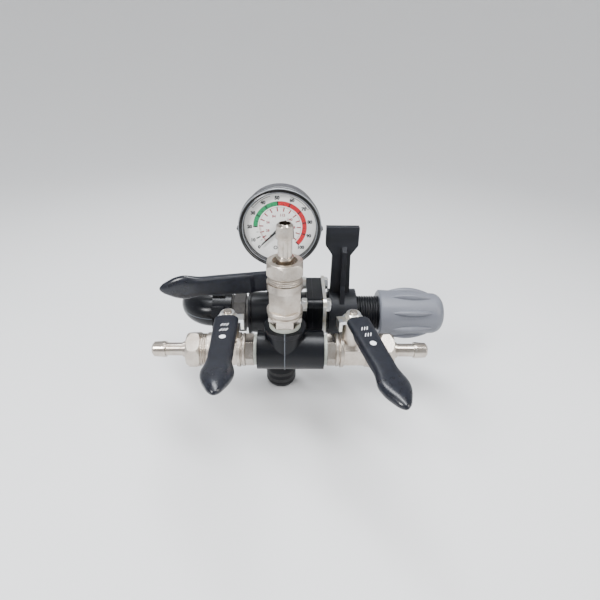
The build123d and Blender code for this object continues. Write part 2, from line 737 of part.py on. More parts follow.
def bonnet():
    """Bonnet: square flange over the diaphragm, collar and the guide tube for the sleeve."""
    flange = RectangleRounded(flange_size, flange_size, flange_corner)
    solid = bar(ALONG_X, flange, flange_joint, bonnet_flange_right)
    solid += bar(ALONG_X, Circle(bonnet_collar_radius), bonnet_flange_right, bonnet_collar_right)
    groove_radius = guide_outer_radius - retaining_ring_depth
    solid += bar(ALONG_X, Circle(guide_outer_radius), bonnet_collar_right, guide_end)
    groove_right = retaining_ring_left + retaining_ring_width
    solid -= ring(ALONG_X, guide_outer_radius + 1, groove_radius, retaining_ring_left, groove_right)
    solid -= bar(ALONG_X, Circle(diaphragm_radius + 0.2), flange_joint, flange_joint + diaphragm_thickness)
    solid -= bar(ALONG_X, Circle(bonnet_cavity_radius), flange_joint, bonnet_flange_right)
    solid -= bar(ALONG_X, Circle(sleeve_outer_radius + running), bonnet_flange_right, guide_end)
    slot_width = 2 * (cam_pin_radius + fit_gap)
    slot_left = cam_pin_x - cam_pin_radius - seat_gap
    slot_right = cam_pin_x + cam_travel + cam_pin_radius + seat_gap
    slot = Rectangle(2 * bonnet_collar_radius, slot_width)
    solid -= bar(ALONG_X, slot, slot_left, slot_right)
    for y, z in bolt_circle():
        solid -= bar(ALONG_X, Circle(bolt_hole_radius), flange_joint, bonnet_flange_right, (0, y, z))
    return Pos(*MAIN) * solid


def clamp_plate():
    """Square zinc-plated plate that spreads the bolts' load over the bonnet flange."""
    section = RectangleRounded(plate_size, plate_size, flange_corner)
    section -= Circle(bonnet_collar_radius + seat_gap)
    for place in bolt_circle():
        section -= Pos(*place) * Circle(bolt_hole_radius)
    return bar(ALONG_X, section, bonnet_flange_right, plate_right, MAIN)


def flange_bolts():
    """Four hex bolts through the clamp plate and both flanges; the lever passes over their low heads."""
    shank_left = body_flange_left - bolt_nut_height - bolt_tip
    bolts = []
    for y, z in bolt_circle():
        at = (0, y, main_z + z)
        bolt = bar(ALONG_X, hexagon(bolt_head_flats), plate_right, bolt_head_right, at)
        bolts.append(bolt + bar(ALONG_X, Circle(bolt_radius), shank_left, plate_right, at))
    return bolts


def flange_nuts():
    """Four hex nuts on the bolts, against the body's flange."""
    section = hexagon(bolt_head_flats) - Circle(bolt_radius + running)
    left = body_flange_left - bolt_nut_height
    return [bar(ALONG_X, section, left, body_flange_left, (0, y, main_z + z)) for y, z in bolt_circle()]


def spring_sleeve():
    """Sleeve that slides in the bonnet and carries the knob on its outside thread."""
    thread = ridges(sleeve_thread_left, sleeve_right, sleeve_outer_radius, sleeve_thread_depth,
                    sleeve_thread_pitch)
    outline = [(sleeve_left, sleeve_inner_radius), (sleeve_left, sleeve_outer_radius)]
    outline += [(sleeve_thread_left, sleeve_outer_radius)] + thread
    outline += [(sleeve_right, sleeve_inner_radius)]
    solid = turned(outline)
    hole = bar(ALONG_Y, Circle(cam_pin_radius), -sleeve_outer_radius - 1, sleeve_outer_radius + 1,
               (cam_pin_x, 0, 0))
    return Pos(*MAIN) * (solid - hole)


def cam_pins():
    """Two pins in the sleeve that the lever's cam groove drives along the bonnet's slots."""
    pins = []
    for side in (-1, 1):
        low, high = sorted((side * sleeve_inner_radius, side * cam_pin_reach))
        pins.append(bar(ALONG_Y, Circle(cam_pin_radius), low, high, (cam_pin_x, 0, main_z)))
    return pins


def bypass_lever():
    """Lever hub around the guide tube, with a ribbed arm and a wide paddle."""
    solid = bar(ALONG_X, Circle(hub_radius), hub_left, hub_right)
    arm = make_face(Polyline(
        (arm_left, hub_radius - 4), (arm_x - arm_neck_half_width, arm_neck_height),
        (arm_x - paddle_half_width, paddle_low), (arm_x - paddle_half_width, paddle_high),
        (arm_x + paddle_half_width, paddle_high), (arm_x + paddle_half_width, paddle_low),
        (arm_x + arm_neck_half_width, arm_neck_height), (arm_x + arm_root_reach, hub_radius - 4),
        close=True))
    solid += extrude(Plane.XZ * arm, amount=arm_thickness / 2, both=True)
    rib_front = -arm_thickness / 2 - rib_height
    rib = make_face(Polyline((0, hub_radius - 3), (-hub_radius * 0.72, hub_radius * 0.62),
                             (rib_front, hub_radius + 9), (rib_front, rib_top - 7), (0, rib_top), close=True))
    solid += Pos(arm_x + rib_offset, 0, 0) * extrude(Plane.YZ * rib, amount=rib_width / 2, both=True)
    solid -= bar(ALONG_X, Circle(guide_outer_radius + fit_gap), hub_left, hub_right)
    groove_left = cam_pin_x - cam_pin_radius - seat_gap
    groove_right = cam_pin_x + cam_travel + cam_pin_radius + seat_gap
    solid -= bar(ALONG_X, Circle(cam_pin_reach + seat_gap), groove_left, groove_right)
    ring_pocket = retaining_ring_left - seat_gap
    solid -= bar(ALONG_X, Circle(retaining_ring_radius + seat_gap), ring_pocket, hub_right)
    return Pos(*MAIN) * solid


def retaining_ring():
    """Open spring ring that keeps the lever's hub on the guide tube."""
    inner = guide_outer_radius - retaining_ring_depth
    solid = ring(ALONG_X, retaining_ring_radius, inner, retaining_ring_left + fit_gap,
                 retaining_ring_left + retaining_ring_width - fit_gap, MAIN)
    mouth = Pos(0, -retaining_ring_radius) * Rectangle(retaining_ring_mouth, retaining_ring_radius)
    right = retaining_ring_left + retaining_ring_width
    return solid - bar(ALONG_X, mouth, retaining_ring_left, right, MAIN)


def main_spring():
    """Compression spring between the spring plate and the thrust plate."""
    left = spring_left + spring_wire_radius + 0.1
    height = spring_right - spring_left - 2 * spring_wire_radius - 0.2
    helix = Helix(pitch=height / spring_turns, height=height, radius=spring_mean_radius)
    start = Plane(origin=helix @ 0, z_dir=helix % 0)
    wire = sweep(start * Circle(spring_wire_radius), path=helix, is_frenet=True)
    return Pos(left, 0, main_z) * Rot(0, 90, 0) * wire


def thrust_plate():
    """Plate and pin that carry the knob's push to the spring."""
    solid = bar(ALONG_X, Circle(thrust_plate_radius), spring_right, spring_right + thrust_plate_thickness)
    solid += bar(ALONG_X, Circle(thrust_pin_radius), spring_right + thrust_plate_thickness, thrust_pin_end)
    return Pos(*MAIN) * solid


def knob():
    """Grey knob: a closed cup with long rounded ribs, threaded on the sleeve."""
    round_left = knob_right - knob_end_round
    flat_radius = knob_right_radius - knob_end_round
    edge = Polyline((knob_right, flat_radius), (knob_right, 0), (knob_left, 0),
                    (knob_left, knob_left_radius - knob_rim_edge),
                    (knob_left + knob_rim_edge, knob_left_radius), (round_left, knob_right_radius))
    corner = RadiusArc((round_left, knob_right_radius), (knob_right, flat_radius), knob_end_round)
    solid = revolve(make_face(edge + corner), Axis.X)
    slope = (knob_left_radius - knob_right_radius) / (round_left - knob_left)
    half_length = (knob_rib_end - knob_rib_start) / 2
    middle = (knob_rib_start + knob_rib_end) / 2
    middle_radius = knob_left_radius - slope * (middle - knob_left)
    lens = ThreePointArc((-half_length, 0), (0, knob_rib_radius), (half_length, 0))
    rib = revolve(make_face(lens + Line((half_length, 0), (-half_length, 0))), Axis.X)
    rib = scale(rib, by=(1, knob_rib_height / knob_rib_radius, 1))
    lean = Rot(0, 0, -math.degrees(math.atan(slope)))
    for turn in range(knob_ribs):
        placed = Pos(middle, middle_radius - knob_rib_sink, 0) * lean * rib
        solid += Rot(knob_rib_turn + 360 / knob_ribs * turn, 0, 0) * placed
    thread_floor = knob_bore + running
    solid -= bar(ALONG_X, Circle(thread_floor), knob_left, knob_shoulder)
    inner_end = thrust_pin_end + seat_gap
    solid -= bar(ALONG_X, Circle(knob_inner_radius), knob_shoulder, inner_end)
    return Pos(*MAIN) * solid


# Gauge pieces, about an axis along Y


def gauge_case():
    """Round cup that holds the gauge's works, open to the front."""
    front = gauge_front + bezel_lip + lens_thickness + fit_gap
    solid = bar(ALONG_Y, Circle(case_radius), front, case_back, GAUGE)
    solid -= bar(ALONG_Y, Circle(case_radius - case_wall), front, case_back - case_wall, GAUGE)
    neck_hole = Circle(gauge_neck_radius + fit_gap)
    return solid - bar(ALONG_Z, neck_hole, gauge_z - bezel_radius, gauge_z - bourdon_radius, GAUGE_PORT)


def gauge_bezel():
    """Bezel ring pressed over the case, with a small lug on each side."""
    inner = case_radius + fit_gap
    back = gauge_front + bezel_depth
    solid = bar(ALONG_Y, Circle(bezel_radius), gauge_front, back, GAUGE)
    for side in (-1, 1):
        lug = Rectangle(bezel_lug_width, 2 * bezel_lug)
        solid += bar(ALONG_Y, lug, gauge_front, back, (side * bezel_radius, 0, gauge_z))
    solid -= bar(ALONG_Y, Circle(bezel_opening), gauge_front, gauge_front + bezel_lip, GAUGE)
    return solid - bar(ALONG_Y, Circle(inner), gauge_front + bezel_lip, back, GAUGE)


def gauge_lens():
    """Clear lens behind the bezel's lip."""
    start = gauge_front + bezel_lip
    return bar(ALONG_Y, Circle(case_radius), start, start + lens_thickness, GAUGE)


def gauge_dial():
    """Dial plate with a hole for the pointer's spindle."""
    hole = spindle_radius + 2 * seat_gap
    return ring(ALONG_Y, dial_radius, hole, dial_front, dial_front + dial_thickness, GAUGE)


def gauge_pointer():
    """Tapered pointer with a tail, a hub and the spindle that turns in the movement."""
    blade = make_face(Polyline(
        (-pointer_tail, -pointer_tail_half_width), (-pointer_tail, pointer_tail_half_width),
        (0, pointer_half_width), (pointer_length, pointer_tip_half_width),
        (pointer_length, -pointer_tip_half_width), (0, -pointer_half_width), close=True))
    front = Plane(origin=(0, pointer_front, gauge_z), x_dir=(1, 0, 0), z_dir=(0, -1, 0))
    solid = extrude(front * Rot(0, 0, pointer_zero) * blade, amount=-pointer_thickness)
    hub_front = pointer_front - pointer_thickness
    solid += bar(ALONG_Y, Circle(pointer_hub_radius), hub_front, dial_front - seat_gap, GAUGE)
    spindle_back = movement_back - seat_gap
    return solid + bar(ALONG_Y, Circle(spindle_radius), dial_front - seat_gap, spindle_back, GAUGE)


def gauge_movement():
    """Geared movement, drawn as its brass frame around the spindle."""
    frame = RectangleRounded(movement_height, movement_width, movement_corner)
    frame -= Circle(spindle_radius + running)
    return bar(ALONG_Y, frame, movement_front, movement_back, GAUGE)


def gauge_socket():
    """Brass socket: thread, hex, neck and the block that carries the movement and the tube."""
    hex_bottom = tower_top + gauge_gasket_thickness
    hex_top = hex_bottom + gauge_hex_height
    block_bottom = gauge_z - case_radius + 2 * case_wall
    solid = bar(ALONG_Z, Circle(gauge_thread_radius), tower_top - gauge_thread_depth, hex_bottom)
    solid += bar(ALONG_Z, hexagon(gauge_hex_flats), hex_bottom, hex_top)
    solid += bar(ALONG_Z, Circle(gauge_neck_radius), hex_top, block_bottom)
    block_top = gauge_z - movement_height / 2 - running
    solid += bar(ALONG_Z, Rectangle(socket_width, socket_depth), block_bottom, block_top)
    solid -= bar(ALONG_Z, Circle(socket_bore), tower_top - gauge_thread_depth, hex_top)
    return Pos(*GAUGE_PORT) * solid


def bourdon_tube():
    """Curved pressure tube that starts at the socket block and bends most of the way round."""
    centre_y = case_back - case_wall - bourdon_back_gap - bourdon_tube_radius
    block_side = socket_width / 2 + bourdon_tube_radius / 2
    start = -math.degrees(math.acos(block_side / bourdon_radius))
    path = CenterArc((0, 0, 0), bourdon_radius, start, bourdon_sweep)
    path = Pos(0, centre_y, gauge_z) * Rot(90, 0, 0) * path
    section = Plane(origin=path @ 0, z_dir=path % 0) * Circle(bourdon_tube_radius)
    return sweep(section, path=path)


def gauge_gasket():
    """Flat gasket under the socket's hex."""
    return ring(ALONG_Z, gauge_gasket_radius, gauge_thread_radius + fit_gap, tower_top,
                tower_top + gauge_gasket_thickness, GAUGE_PORT)


def build():
    """Every node by name, each a solid or a list of like solids."""
    nodes = {
        "valve_body": valve_body(),
        "spigot_rings": spigot_rings(),
        "hex_adapter": hex_adapter(),
        "elbow_gasket": elbow_gasket(),
        "elbow": elbow(),
        "union_ring_nut": union_ring_nut(),
        "regulator_seat": valve_seat(),
        "poppet": poppet(),
        "diaphragm": diaphragm(),
        "spring_plate": spring_plate(),
        "bonnet": bonnet(),
        "clamp_plate": clamp_plate(),
        "flange_bolts": flange_bolts(),
        "flange_nuts": flange_nuts(),
        "spring_sleeve": spring_sleeve(),
        "cam_pins": cam_pins(),
        "bypass_lever": bypass_lever(),
        "retaining_ring": retaining_ring(),
        "main_spring": main_spring(),
        "thrust_plate": thrust_plate(),
        "knob": knob(),
        "gauge_case": gauge_case(),
        "gauge_bezel": gauge_bezel(),
        "gauge_lens": gauge_lens(),
        "gauge_dial": gauge_dial(),
        "gauge_pointer": gauge_pointer(),
        "gauge_movement": gauge_movement(),
        "gauge_socket": gauge_socket(),
        "bourdon_tube": bourdon_tube(),
        "gauge_gasket": gauge_gasket(),
        "ball_seats": [],
        "stem_seals": [],
        "nipple_gaskets": [],
        "union_gaskets": [],
        "union_nuts": [],
    }
    for side, place in valve_places.items():
        angle, tilt, tab = lever_settings[side]
        nodes[side + "_nipple"] = place * nipple()
        nodes[side + "_valve_body"] = place * ball_valve_body()
        nodes[side + "_ball"] = place * ball(angle)
        nodes[side + "_stem"] = place * stem(angle)
        nodes[side + "_lever_nut"] = place * lever_nut()
        nodes[side + "_lever_plate"] = place * lever_plate(angle, tilt, tab)
        nodes[side + "_grip"] = place * grip(angle, tilt)
        nodes[side + "_hose_tail"] = place * hose_tail()
        nodes["ball_seats"] += [place * ball_seat(-1), place * ball_seat(1)]
        nodes["stem_seals"].append(place * stem_seal())
        nodes["nipple_gaskets"].append(place * nipple_gasket())
        nodes["union_gaskets"].append(place * union_gasket())
        nodes["union_nuts"].append(place * union_nut())
    return nodes


os.makedirs("parts", exist_ok=True)
for name, shape in build().items():
    solids = shape if isinstance(shape, list) else [shape]
    pieces = [solid for item in solids for solid in item.solids()]
    export_step(Compound(children=pieces), "parts/" + name + ".step")
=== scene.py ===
import json
import math

import bmesh
import bpy
import numpy as np
from mathutils import Matrix, Vector


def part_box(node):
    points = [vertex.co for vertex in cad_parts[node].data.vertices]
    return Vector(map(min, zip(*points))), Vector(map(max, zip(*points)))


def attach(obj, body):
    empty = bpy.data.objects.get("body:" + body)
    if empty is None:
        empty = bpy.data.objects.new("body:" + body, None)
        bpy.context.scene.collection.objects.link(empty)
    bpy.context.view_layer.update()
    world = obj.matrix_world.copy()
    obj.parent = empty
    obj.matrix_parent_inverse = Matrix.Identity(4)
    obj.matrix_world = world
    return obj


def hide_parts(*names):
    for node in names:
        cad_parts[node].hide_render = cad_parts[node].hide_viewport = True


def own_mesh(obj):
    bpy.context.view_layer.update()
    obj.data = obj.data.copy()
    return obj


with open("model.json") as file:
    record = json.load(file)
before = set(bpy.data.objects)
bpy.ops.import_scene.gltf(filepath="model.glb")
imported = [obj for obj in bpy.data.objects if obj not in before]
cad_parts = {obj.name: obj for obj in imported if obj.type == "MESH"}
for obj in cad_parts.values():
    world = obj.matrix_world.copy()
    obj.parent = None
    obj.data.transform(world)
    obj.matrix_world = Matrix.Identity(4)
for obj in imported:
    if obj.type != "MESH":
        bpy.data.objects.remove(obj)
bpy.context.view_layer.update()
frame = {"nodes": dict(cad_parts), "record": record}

# Sizes are in millimetres until a mesh is made, then in metres. X goes right along the regulator,
# Y away from the camera and Z up.
mm = 0.001
valves = ("left", "right", "top")

# Places, as in the CAD
floor_z = -28.5
main_z = 51.0
manifold = (4.8, -52.0, 46.5)
manifold_ends = {"left": -17.9, "right": 36.5}
boss_top = 70.8
gauge_centre = (0.0, 0.0, 135.8)
dial_front = -5.2
bezel_front, bezel_back = -11.0, -2.5
bezel_radius = 34.0

# Levers, as in the CAD: each has its turn about the stem and the tilt of its straight part, in degrees
stem_at = 22.5
plate_bottom = 28.8
crank_start = 7.2
lever_angles = {"left": (93.0, 6.0), "right": (-78.6, -1.0), "top": (-93.5, -3.0)}
grip_start, grip_end = 10.0, 105.8
grip_middle = 5.45
grip_half_height = 4.5

# Bolts stand in a square round the regulator's neck, clear of it by a small gap
bolt_flats = 10.0
neck_radius = 22.3
bolt_gap = 0.3
half_pitch = (neck_radius + bolt_flats / math.sqrt(3) + bolt_gap) / math.sqrt(2)
bolt_places = [(y, z) for y in (-half_pitch, half_pitch) for z in (-half_pitch, half_pitch)]

# The photograph's camera: place, then pitch, yaw and roll in degrees, then sensor and focal length
camera_place = (10.4, -355.0, 269.0)
camera_angles = (30.0, 1.15, -0.98)
sensor_width, focal_length = 36.0, 27.0


# Camera and lamps


def place_camera():
    """The photograph's camera: pitch, yaw and roll turned into the camera's three axes."""
    pitch, yaw, roll = (math.radians(angle) for angle in camera_angles)
    ahead = np.array([math.sin(yaw), math.cos(yaw), 0.0])
    forward = ahead * math.cos(pitch) - np.array([0.0, 0.0, math.sin(pitch)])
    level = np.array([math.cos(yaw), -math.sin(yaw), 0.0])
    upright = np.cross(level, forward)
    up = upright * math.cos(roll) + level * math.sin(roll)
    right = np.cross(forward, up)
    data = bpy.data.cameras.new("photo_camera")
    data.sensor_width = sensor_width
    data.lens = focal_length
    data.clip_start = 0.01
    camera = bpy.data.objects.new("photo_camera", data)
    bpy.context.scene.collection.objects.link(camera)
    turn = Matrix((right, up, -forward)).transposed().to_4x4()
    camera.matrix_world = Matrix.Translation(Vector(camera_place) * mm) @ turn
    bpy.context.scene.camera = camera


def soft_box(name, place, aim, size, power, tint=(1.0, 1.0, 1.0)):
    """An oblong area lamp at one place, turned to face another."""
    data = bpy.data.lights.new(name, "AREA")
    data.shape = "RECTANGLE"
    data.size, data.size_y = size
    data.energy = power
    data.color = tint
    lamp = bpy.data.objects.new(name, data)
    bpy.context.scene.collection.objects.link(lamp)
    lamp.location = place
    lamp.rotation_euler = (Vector(aim) - Vector(place)).to_track_quat("-Z", "Y").to_euler()


# Meshes


def quad_faces(rows, columns, wrap_rows, wrap_columns):
    """Quads that join each grid point to its right and lower neighbours, wrapping where asked."""
    row_count = rows if wrap_rows else rows - 1
    column_count = columns if wrap_columns else columns - 1
    row, column = np.meshgrid(np.arange(row_count), np.arange(column_count), indexing="ij")
    next_row, next_column = (row + 1) % rows, (column + 1) % columns
    corners = [row * columns + column, next_row * columns + column,
               next_row * columns + next_column, row * columns + next_column]
    return np.stack([corner.ravel() for corner in corners], axis=1)


def add_piece(name, points, faces, uv=None, smooth=True):
    """One mesh object from points in millimetres and faces; doubles are merged and normals face out."""
    mesh = bpy.data.meshes.new(name)
    mesh.from_pydata((np.asarray(points, float) * mm).tolist(), [], [list(face) for face in faces])
    if uv is not None:
        layer = mesh.uv_layers.new(name="along")
        loops = np.zeros(len(mesh.loops), dtype=np.int64)
        mesh.loops.foreach_get("vertex_index", loops)
        layer.data.foreach_set("uv", np.asarray(uv, float)[loops].ravel())
    work = bmesh.new()
    work.from_mesh(mesh)
    bmesh.ops.remove_doubles(work, verts=work.verts, dist=1e-7)
    bmesh.ops.recalc_face_normals(work, faces=work.faces)
    work.to_mesh(mesh)
    work.free()
    mesh.polygons.foreach_set("use_smooth", np.full(len(mesh.polygons), smooth))
    piece = bpy.data.objects.new(name, mesh)
    bpy.context.scene.collection.objects.link(piece)
    return piece


def surface(name, grid, wrap_rows=False, wrap_columns=False, uv=None):
    """A mesh from a grid of points, rows by columns by three."""
    rows, columns = grid.shape[:2]
    faces = quad_faces(rows, columns, wrap_rows, wrap_columns)
    flat_uv = None if uv is None else uv.reshape(-1, 2)
    return add_piece(name, grid.reshape(-1, 3), faces, flat_uv)


def rounded(profile, steps=5):
    """A profile of (along, radius, corner radius) points with each corner turned into a short arc.

    Each arc is the quadratic curve from the point one corner radius before the corner to the
    point one corner radius after it, pulled towards the corner.
    """
    profile = np.asarray(profile, float)
    out = []
    for index, (x, r, size) in enumerate(profile):
        corner = np.array([x, r])
        if size == 0 or index in (0, len(profile) - 1):
            out.append(corner)
            continue
        before = profile[index - 1, :2] - corner
        after = profile[index + 1, :2] - corner
        start = corner + before / np.linalg.norm(before) * size
        end = corner + after / np.linalg.norm(after) * size
        t = np.linspace(0, 1, steps)[:, None]
        out.extend(start * (1 - t) ** 2 + 2 * corner * t * (1 - t) + end * t ** 2)
    return np.array(out)


def full_turn(steps):
    """Even angles round one full turn."""
    return np.linspace(0, 2 * math.pi, steps, endpoint=False)


def ramp(value, start, length):
    """Rises straight from 0 at a start to 1 a length further on, and holds outside."""
    return np.clip((value - start) / length, 0, 1)


def strip_faces(steps):
    """Quads between two rows of points that follow each other."""
    return [[i, i + 1, i + 1 + steps, i + steps] for i in range(steps - 1)]


def join_patches(patches):
    """Several lots of points and faces made one."""
    points, faces, count = [], [], 0
    for patch, patch_faces in patches:
        points.append(patch)
        faces += [[corner + count for corner in face] for face in patch_faces]
        count += len(patch)
    return np.concatenate(points), faces


def face_towards(mesh, direction):
    """Turns an open sheet over when its faces look away from a direction."""
    normals = np.zeros(3 * len(mesh.polygons))
    mesh.polygons.foreach_get("normal", normals)
    if (normals.reshape(-1, 3) @ direction).sum() < 0:
        mesh.flip_normals()


def turned(angle, axis):
    """A turn by an angle in degrees about a named axis."""
    return Matrix.Rotation(math.radians(angle), 4, axis)


def placed(points, matrix):
    """Points moved by a four-by-four matrix."""
    matrix = np.array(matrix)
    return points @ matrix[:3, :3].T + matrix[:3, 3]


def finish_piece(piece, body, slot, material, *replaced):
    """Gives a new piece its body, its material and the nodes that it stands for; the record slot is not
    used.
    """
    piece.data.materials.clear()
    piece.data.materials.append(material)
    if replaced:
        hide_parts(*replaced)
    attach(piece, body)


# Shader expressions


class Wire:
    """A number in a material, so that shader maths reads as plain arithmetic."""

    def __init__(self, finish, socket):
        self.finish = finish
        self.socket = socket

    def maths(self, operation, *terms, clamp=False):
        settings = {"operation": operation, "use_clamp": clamp}
        return self.finish.wire("ShaderNodeMath", settings, dict(enumerate(terms)))

    def __add__(self, other):
        return self.maths("ADD", self, other)

    def __radd__(self, other):
        return self.maths("ADD", other, self)

    def __sub__(self, other):
        return self.maths("SUBTRACT", self, other)

    def __rsub__(self, other):
        return self.maths("SUBTRACT", other, self)

    def __mul__(self, other):
        return self.maths("MULTIPLY", self, other)

    def __rmul__(self, other):
        return self.maths("MULTIPLY", other, self)

    def __pow__(self, other):
        return self.maths("POWER", self, other)

    def __abs__(self):
        return self.maths("ABSOLUTE", self)

    def sine(self):
        return self.maths("SINE", self)

    def root(self):
        return self.maths("SQRT", self)

    def held(self):
        """Kept between 0 and 1."""
        return self.maths("ADD", self, 0.0, clamp=True)

    def rise(self, low, high):
        """Goes smoothly from 0 at low to 1 at high, or the other way when low is above high."""
        settings = {"interpolation_type": "SMOOTHSTEP"}
        first, last = (1.0, 0.0) if low > high else (0.0, 1.0)
        limits = {"Value": self, "From Min": min(low, high), "From Max": max(low, high),
                  "To Min": first, "To Max": last}
        return self.finish.wire("ShaderNodeMapRange", settings, limits)


class Finish:
    """One node material, built around a Principled shader."""

    def __init__(self, name):
        self.material = bpy.data.materials.new(name)
        self.material.use_nodes = True
        self.tree = self.material.node_tree
        self.tree.nodes.clear()
        self.shader = self.tree.nodes.new("ShaderNodeBsdfPrincipled")
        output = self.tree.nodes.new("ShaderNodeOutputMaterial")
        self.tree.links.new(self.shader.outputs[0], output.inputs["Surface"])
        place = self.node("ShaderNodeTexCoord", {}, {})
        scaled = self.node("ShaderNodeVectorMath", {"operation": "SCALE"},
                           {0: place.outputs["Object"], "Scale": 1000.0})
        self.place = scaled.outputs[0]
        self.uv = place.outputs["UV"]

    def node(self, kind, settings, sockets):
        """Adds a node: its settings first, then the values or links of its sockets."""
        node = self.tree.nodes.new(kind)
        for name, value in settings.items():
            setattr(node, name, value)
        for name, value in sockets.items():
            self.set(node.inputs[name], value)
        return node

    def set(self, socket, value):
        """Links a wire or an output to a socket, or sets a plain value on it."""
        if isinstance(value, Wire):
            value = value.socket
        if isinstance(value, bpy.types.NodeSocket):
            self.tree.links.new(value, socket)
        elif isinstance(value, tuple) and socket.type == "RGBA":
            socket.default_value = (*value, 1.0)
        else:
            socket.default_value = value

    def wire(self, kind, settings, sockets):
        """Adds a node and gives its first output as a wire."""
        return Wire(self, self.node(kind, settings, sockets).outputs[0])

    def axes(self, source=None):
        """The three coordinates as wires: millimetres in the object's frame unless a source is given."""
        split = self.node("ShaderNodeSeparateXYZ", {}, {"Vector": source or self.place})
        return [Wire(self, split.outputs[index]) for index in range(3)]

    def stretched(self, scale):
        """The millimetre coordinates, scaled differently along each axis."""
        return self.node("ShaderNodeVectorMath", {"operation": "MULTIPLY"},
                         {0: self.place, 1: scale}).outputs[0]

    def noise(self, scale, detail=3.0, roughness=0.55, place=None):
        """Cloudy noise between 0 and 1, with scale waves to a millimetre."""
        return self.wire("ShaderNodeTexNoise", {}, {"Vector": place or self.place, "Scale": scale,
                                                    "Detail": detail, "Roughness": roughness})

    def cells(self, scale):
        """Distance to the nearest of scattered points, with scale points to a millimetre."""
        return self.wire("ShaderNodeTexVoronoi", {}, {"Vector": self.place, "Scale": scale})

    def blend(self, factor, first, second):
        """A colour between two colours."""
        factor_in, first_in, second_in, colour_out = 0, 6, 7, 2
        node = self.node("ShaderNodeMix", {"data_type": "RGBA"},
                         {factor_in: factor, first_in: first, second_in: second})
        return node.outputs[colour_out]

    def relief(self, height, depth, edge=0.0):
        """Bump from a height times a depth in millimetres, over edges softened to a small radius."""
        sockets = {"Height": height, "Distance": depth * mm}
        if edge:
            soft = self.node("ShaderNodeBevel", {"samples": 4}, {"Radius": edge * mm})
            sockets["Normal"] = soft.outputs[0]
        return self.node("ShaderNodeBump", {}, sockets).outputs[0]

    def done(self, **sockets):
        """Sets the shader's sockets, named with underscores for spaces, and returns the material."""
        for name, value in sockets.items():
            self.set(self.shader.inputs[name.replace("_", " ")], value)
        return self.material


def moulded_black(name, grain=1.0, gloss=0.26, tone=1.0, seam=None):
    """Glass-filled nylon: blue-black, satin, with moulding grain, flow streaks and light scuffs."""
    f = Finish(name)
    grain_height = f.noise(2.2, 4.0, 0.6)
    streak = f.noise(1.0, 3.0, 0.5, f.stretched((0.03, 0.09, 0.12)))
    scuff = f.noise(0.35, 6.0, 0.75).rise(0.58, 0.72)
    fine = f.noise(9.0, 2.0, 0.5)
    low = tuple(tone * part for part in (0.0020, 0.0024, 0.0036))
    high = tuple(tone * part for part in (0.0042, 0.0048, 0.0070))
    colour = f.blend(streak.rise(0.3, 0.7), low, high)
    colour = f.blend(scuff * fine * 0.30, colour, (0.045, 0.05, 0.06))
    rough = gloss + 0.10 * streak + 0.12 * scuff * fine
    height = grain_height * 0.6 + fine * 0.4
    if seam:
        line = seam(f)
        height = height + 4.0 * line
        # painted highlight: the seam line is lightened as if light caught its ridge, and on the body the
        # pale tone is partly also stress whitening; the bump above is the real ridge
        colour = f.blend(0.75 * line, colour, (0.16, 0.18, 0.21))
    return f.done(Base_Color=colour, Roughness=rough, Specular_IOR_Level=0.24,
                  Normal=f.relief(height, 0.05 * grain, edge=0.7))


def elbow_seam(f):
    """The elbow's parting line: a raised thread a third of a millimetre wide at mid height, painted pale
    as a highlight.
    """
    return abs(f.axes()[2] - main_z).rise(0.26, 0.14)


def body_seam(f):
    """The body's parting line along the ridge's crest round the manifold and up its boss; its pale tone
    is partly the plastic's stress whitening and partly a painted highlight.
    """
    x, y, _ = f.axes()
    return abs(x - manifold[0]).rise(0.42, 0.26) * y.rise(-44.0, -52.0)


def grey_cap():
    """Knob plastic: mid grey with a cool cast, satin, fine spark-eroded grain and faint flow marks."""
    f = Finish("grey_knob")
    flow = f.noise(1.0, 4.0, 0.55, f.stretched((0.02, 0.10, 0.10)))
    grain = f.noise(5.0, 3.0, 0.6)
    rub = f.noise(0.22, 5.0, 0.7).rise(0.55, 0.75)
    colour = f.blend(flow.rise(0.25, 0.75), (0.102, 0.109, 0.132), (0.128, 0.136, 0.160))
    colour = f.blend(rub * 0.25, colour, (0.22, 0.23, 0.26))
    rough = 0.36 + 0.10 * flow + 0.08 * rub
    return f.done(Base_Color=colour, Roughness=rough, Specular_IOR_Level=0.5,
                  Normal=f.relief(grain, 0.03, edge=0.35))


def nickel_tones(f):
    """Nickel's warm silver in broad clouds, with brown tarnish; gives the tarnish and the colour."""
    broad = f.noise(0.12, 4.0, 0.6)
    tarnish = f.noise(0.5, 6.0, 0.7).rise(0.5, 0.8)
    colour = f.blend(broad.rise(0.3, 0.7), (0.56, 0.515, 0.46), (0.44, 0.385, 0.33))
    return tarnish, f.blend(tarnish * 0.6, colour, (0.22, 0.165, 0.125))


def turned_nickel(name, axis):
    """Nickel over turned brass: fine tool lines across the flow axis, which is 0 for X or 2 for Z."""
    f = Finish(name)
    tarnish, colour = nickel_tones(f)
    tool_lines = (f.axes()[axis] * 14.0 + 2.0 * f.noise(0.3, 2.0)).sine()
    blast = f.noise(3.5, 5.0, 0.7)
    return f.done(Base_Color=colour, Metallic=1.0, Roughness=0.13 + 0.08 * blast + 0.10 * tarnish,
                  Normal=f.relief(tool_lines * 0.15 + blast * 0.35, 0.03, edge=0.35))


def cast_nickel():
    """Nickel over cast brass: shot-blasted faces with shallow pits."""
    f = Finish("nickel_cast")
    tarnish, colour = nickel_tones(f)
    pits = f.cells(0.9).rise(0.0, 0.5)
    blast = f.noise(3.5, 5.0, 0.7)
    return f.done(Base_Color=colour, Metallic=1.0, Roughness=0.22 + 0.14 * blast + 0.10 * tarnish,
                  Normal=f.relief(blast * 1.2 + pits * 0.5, 0.10, edge=0.35))


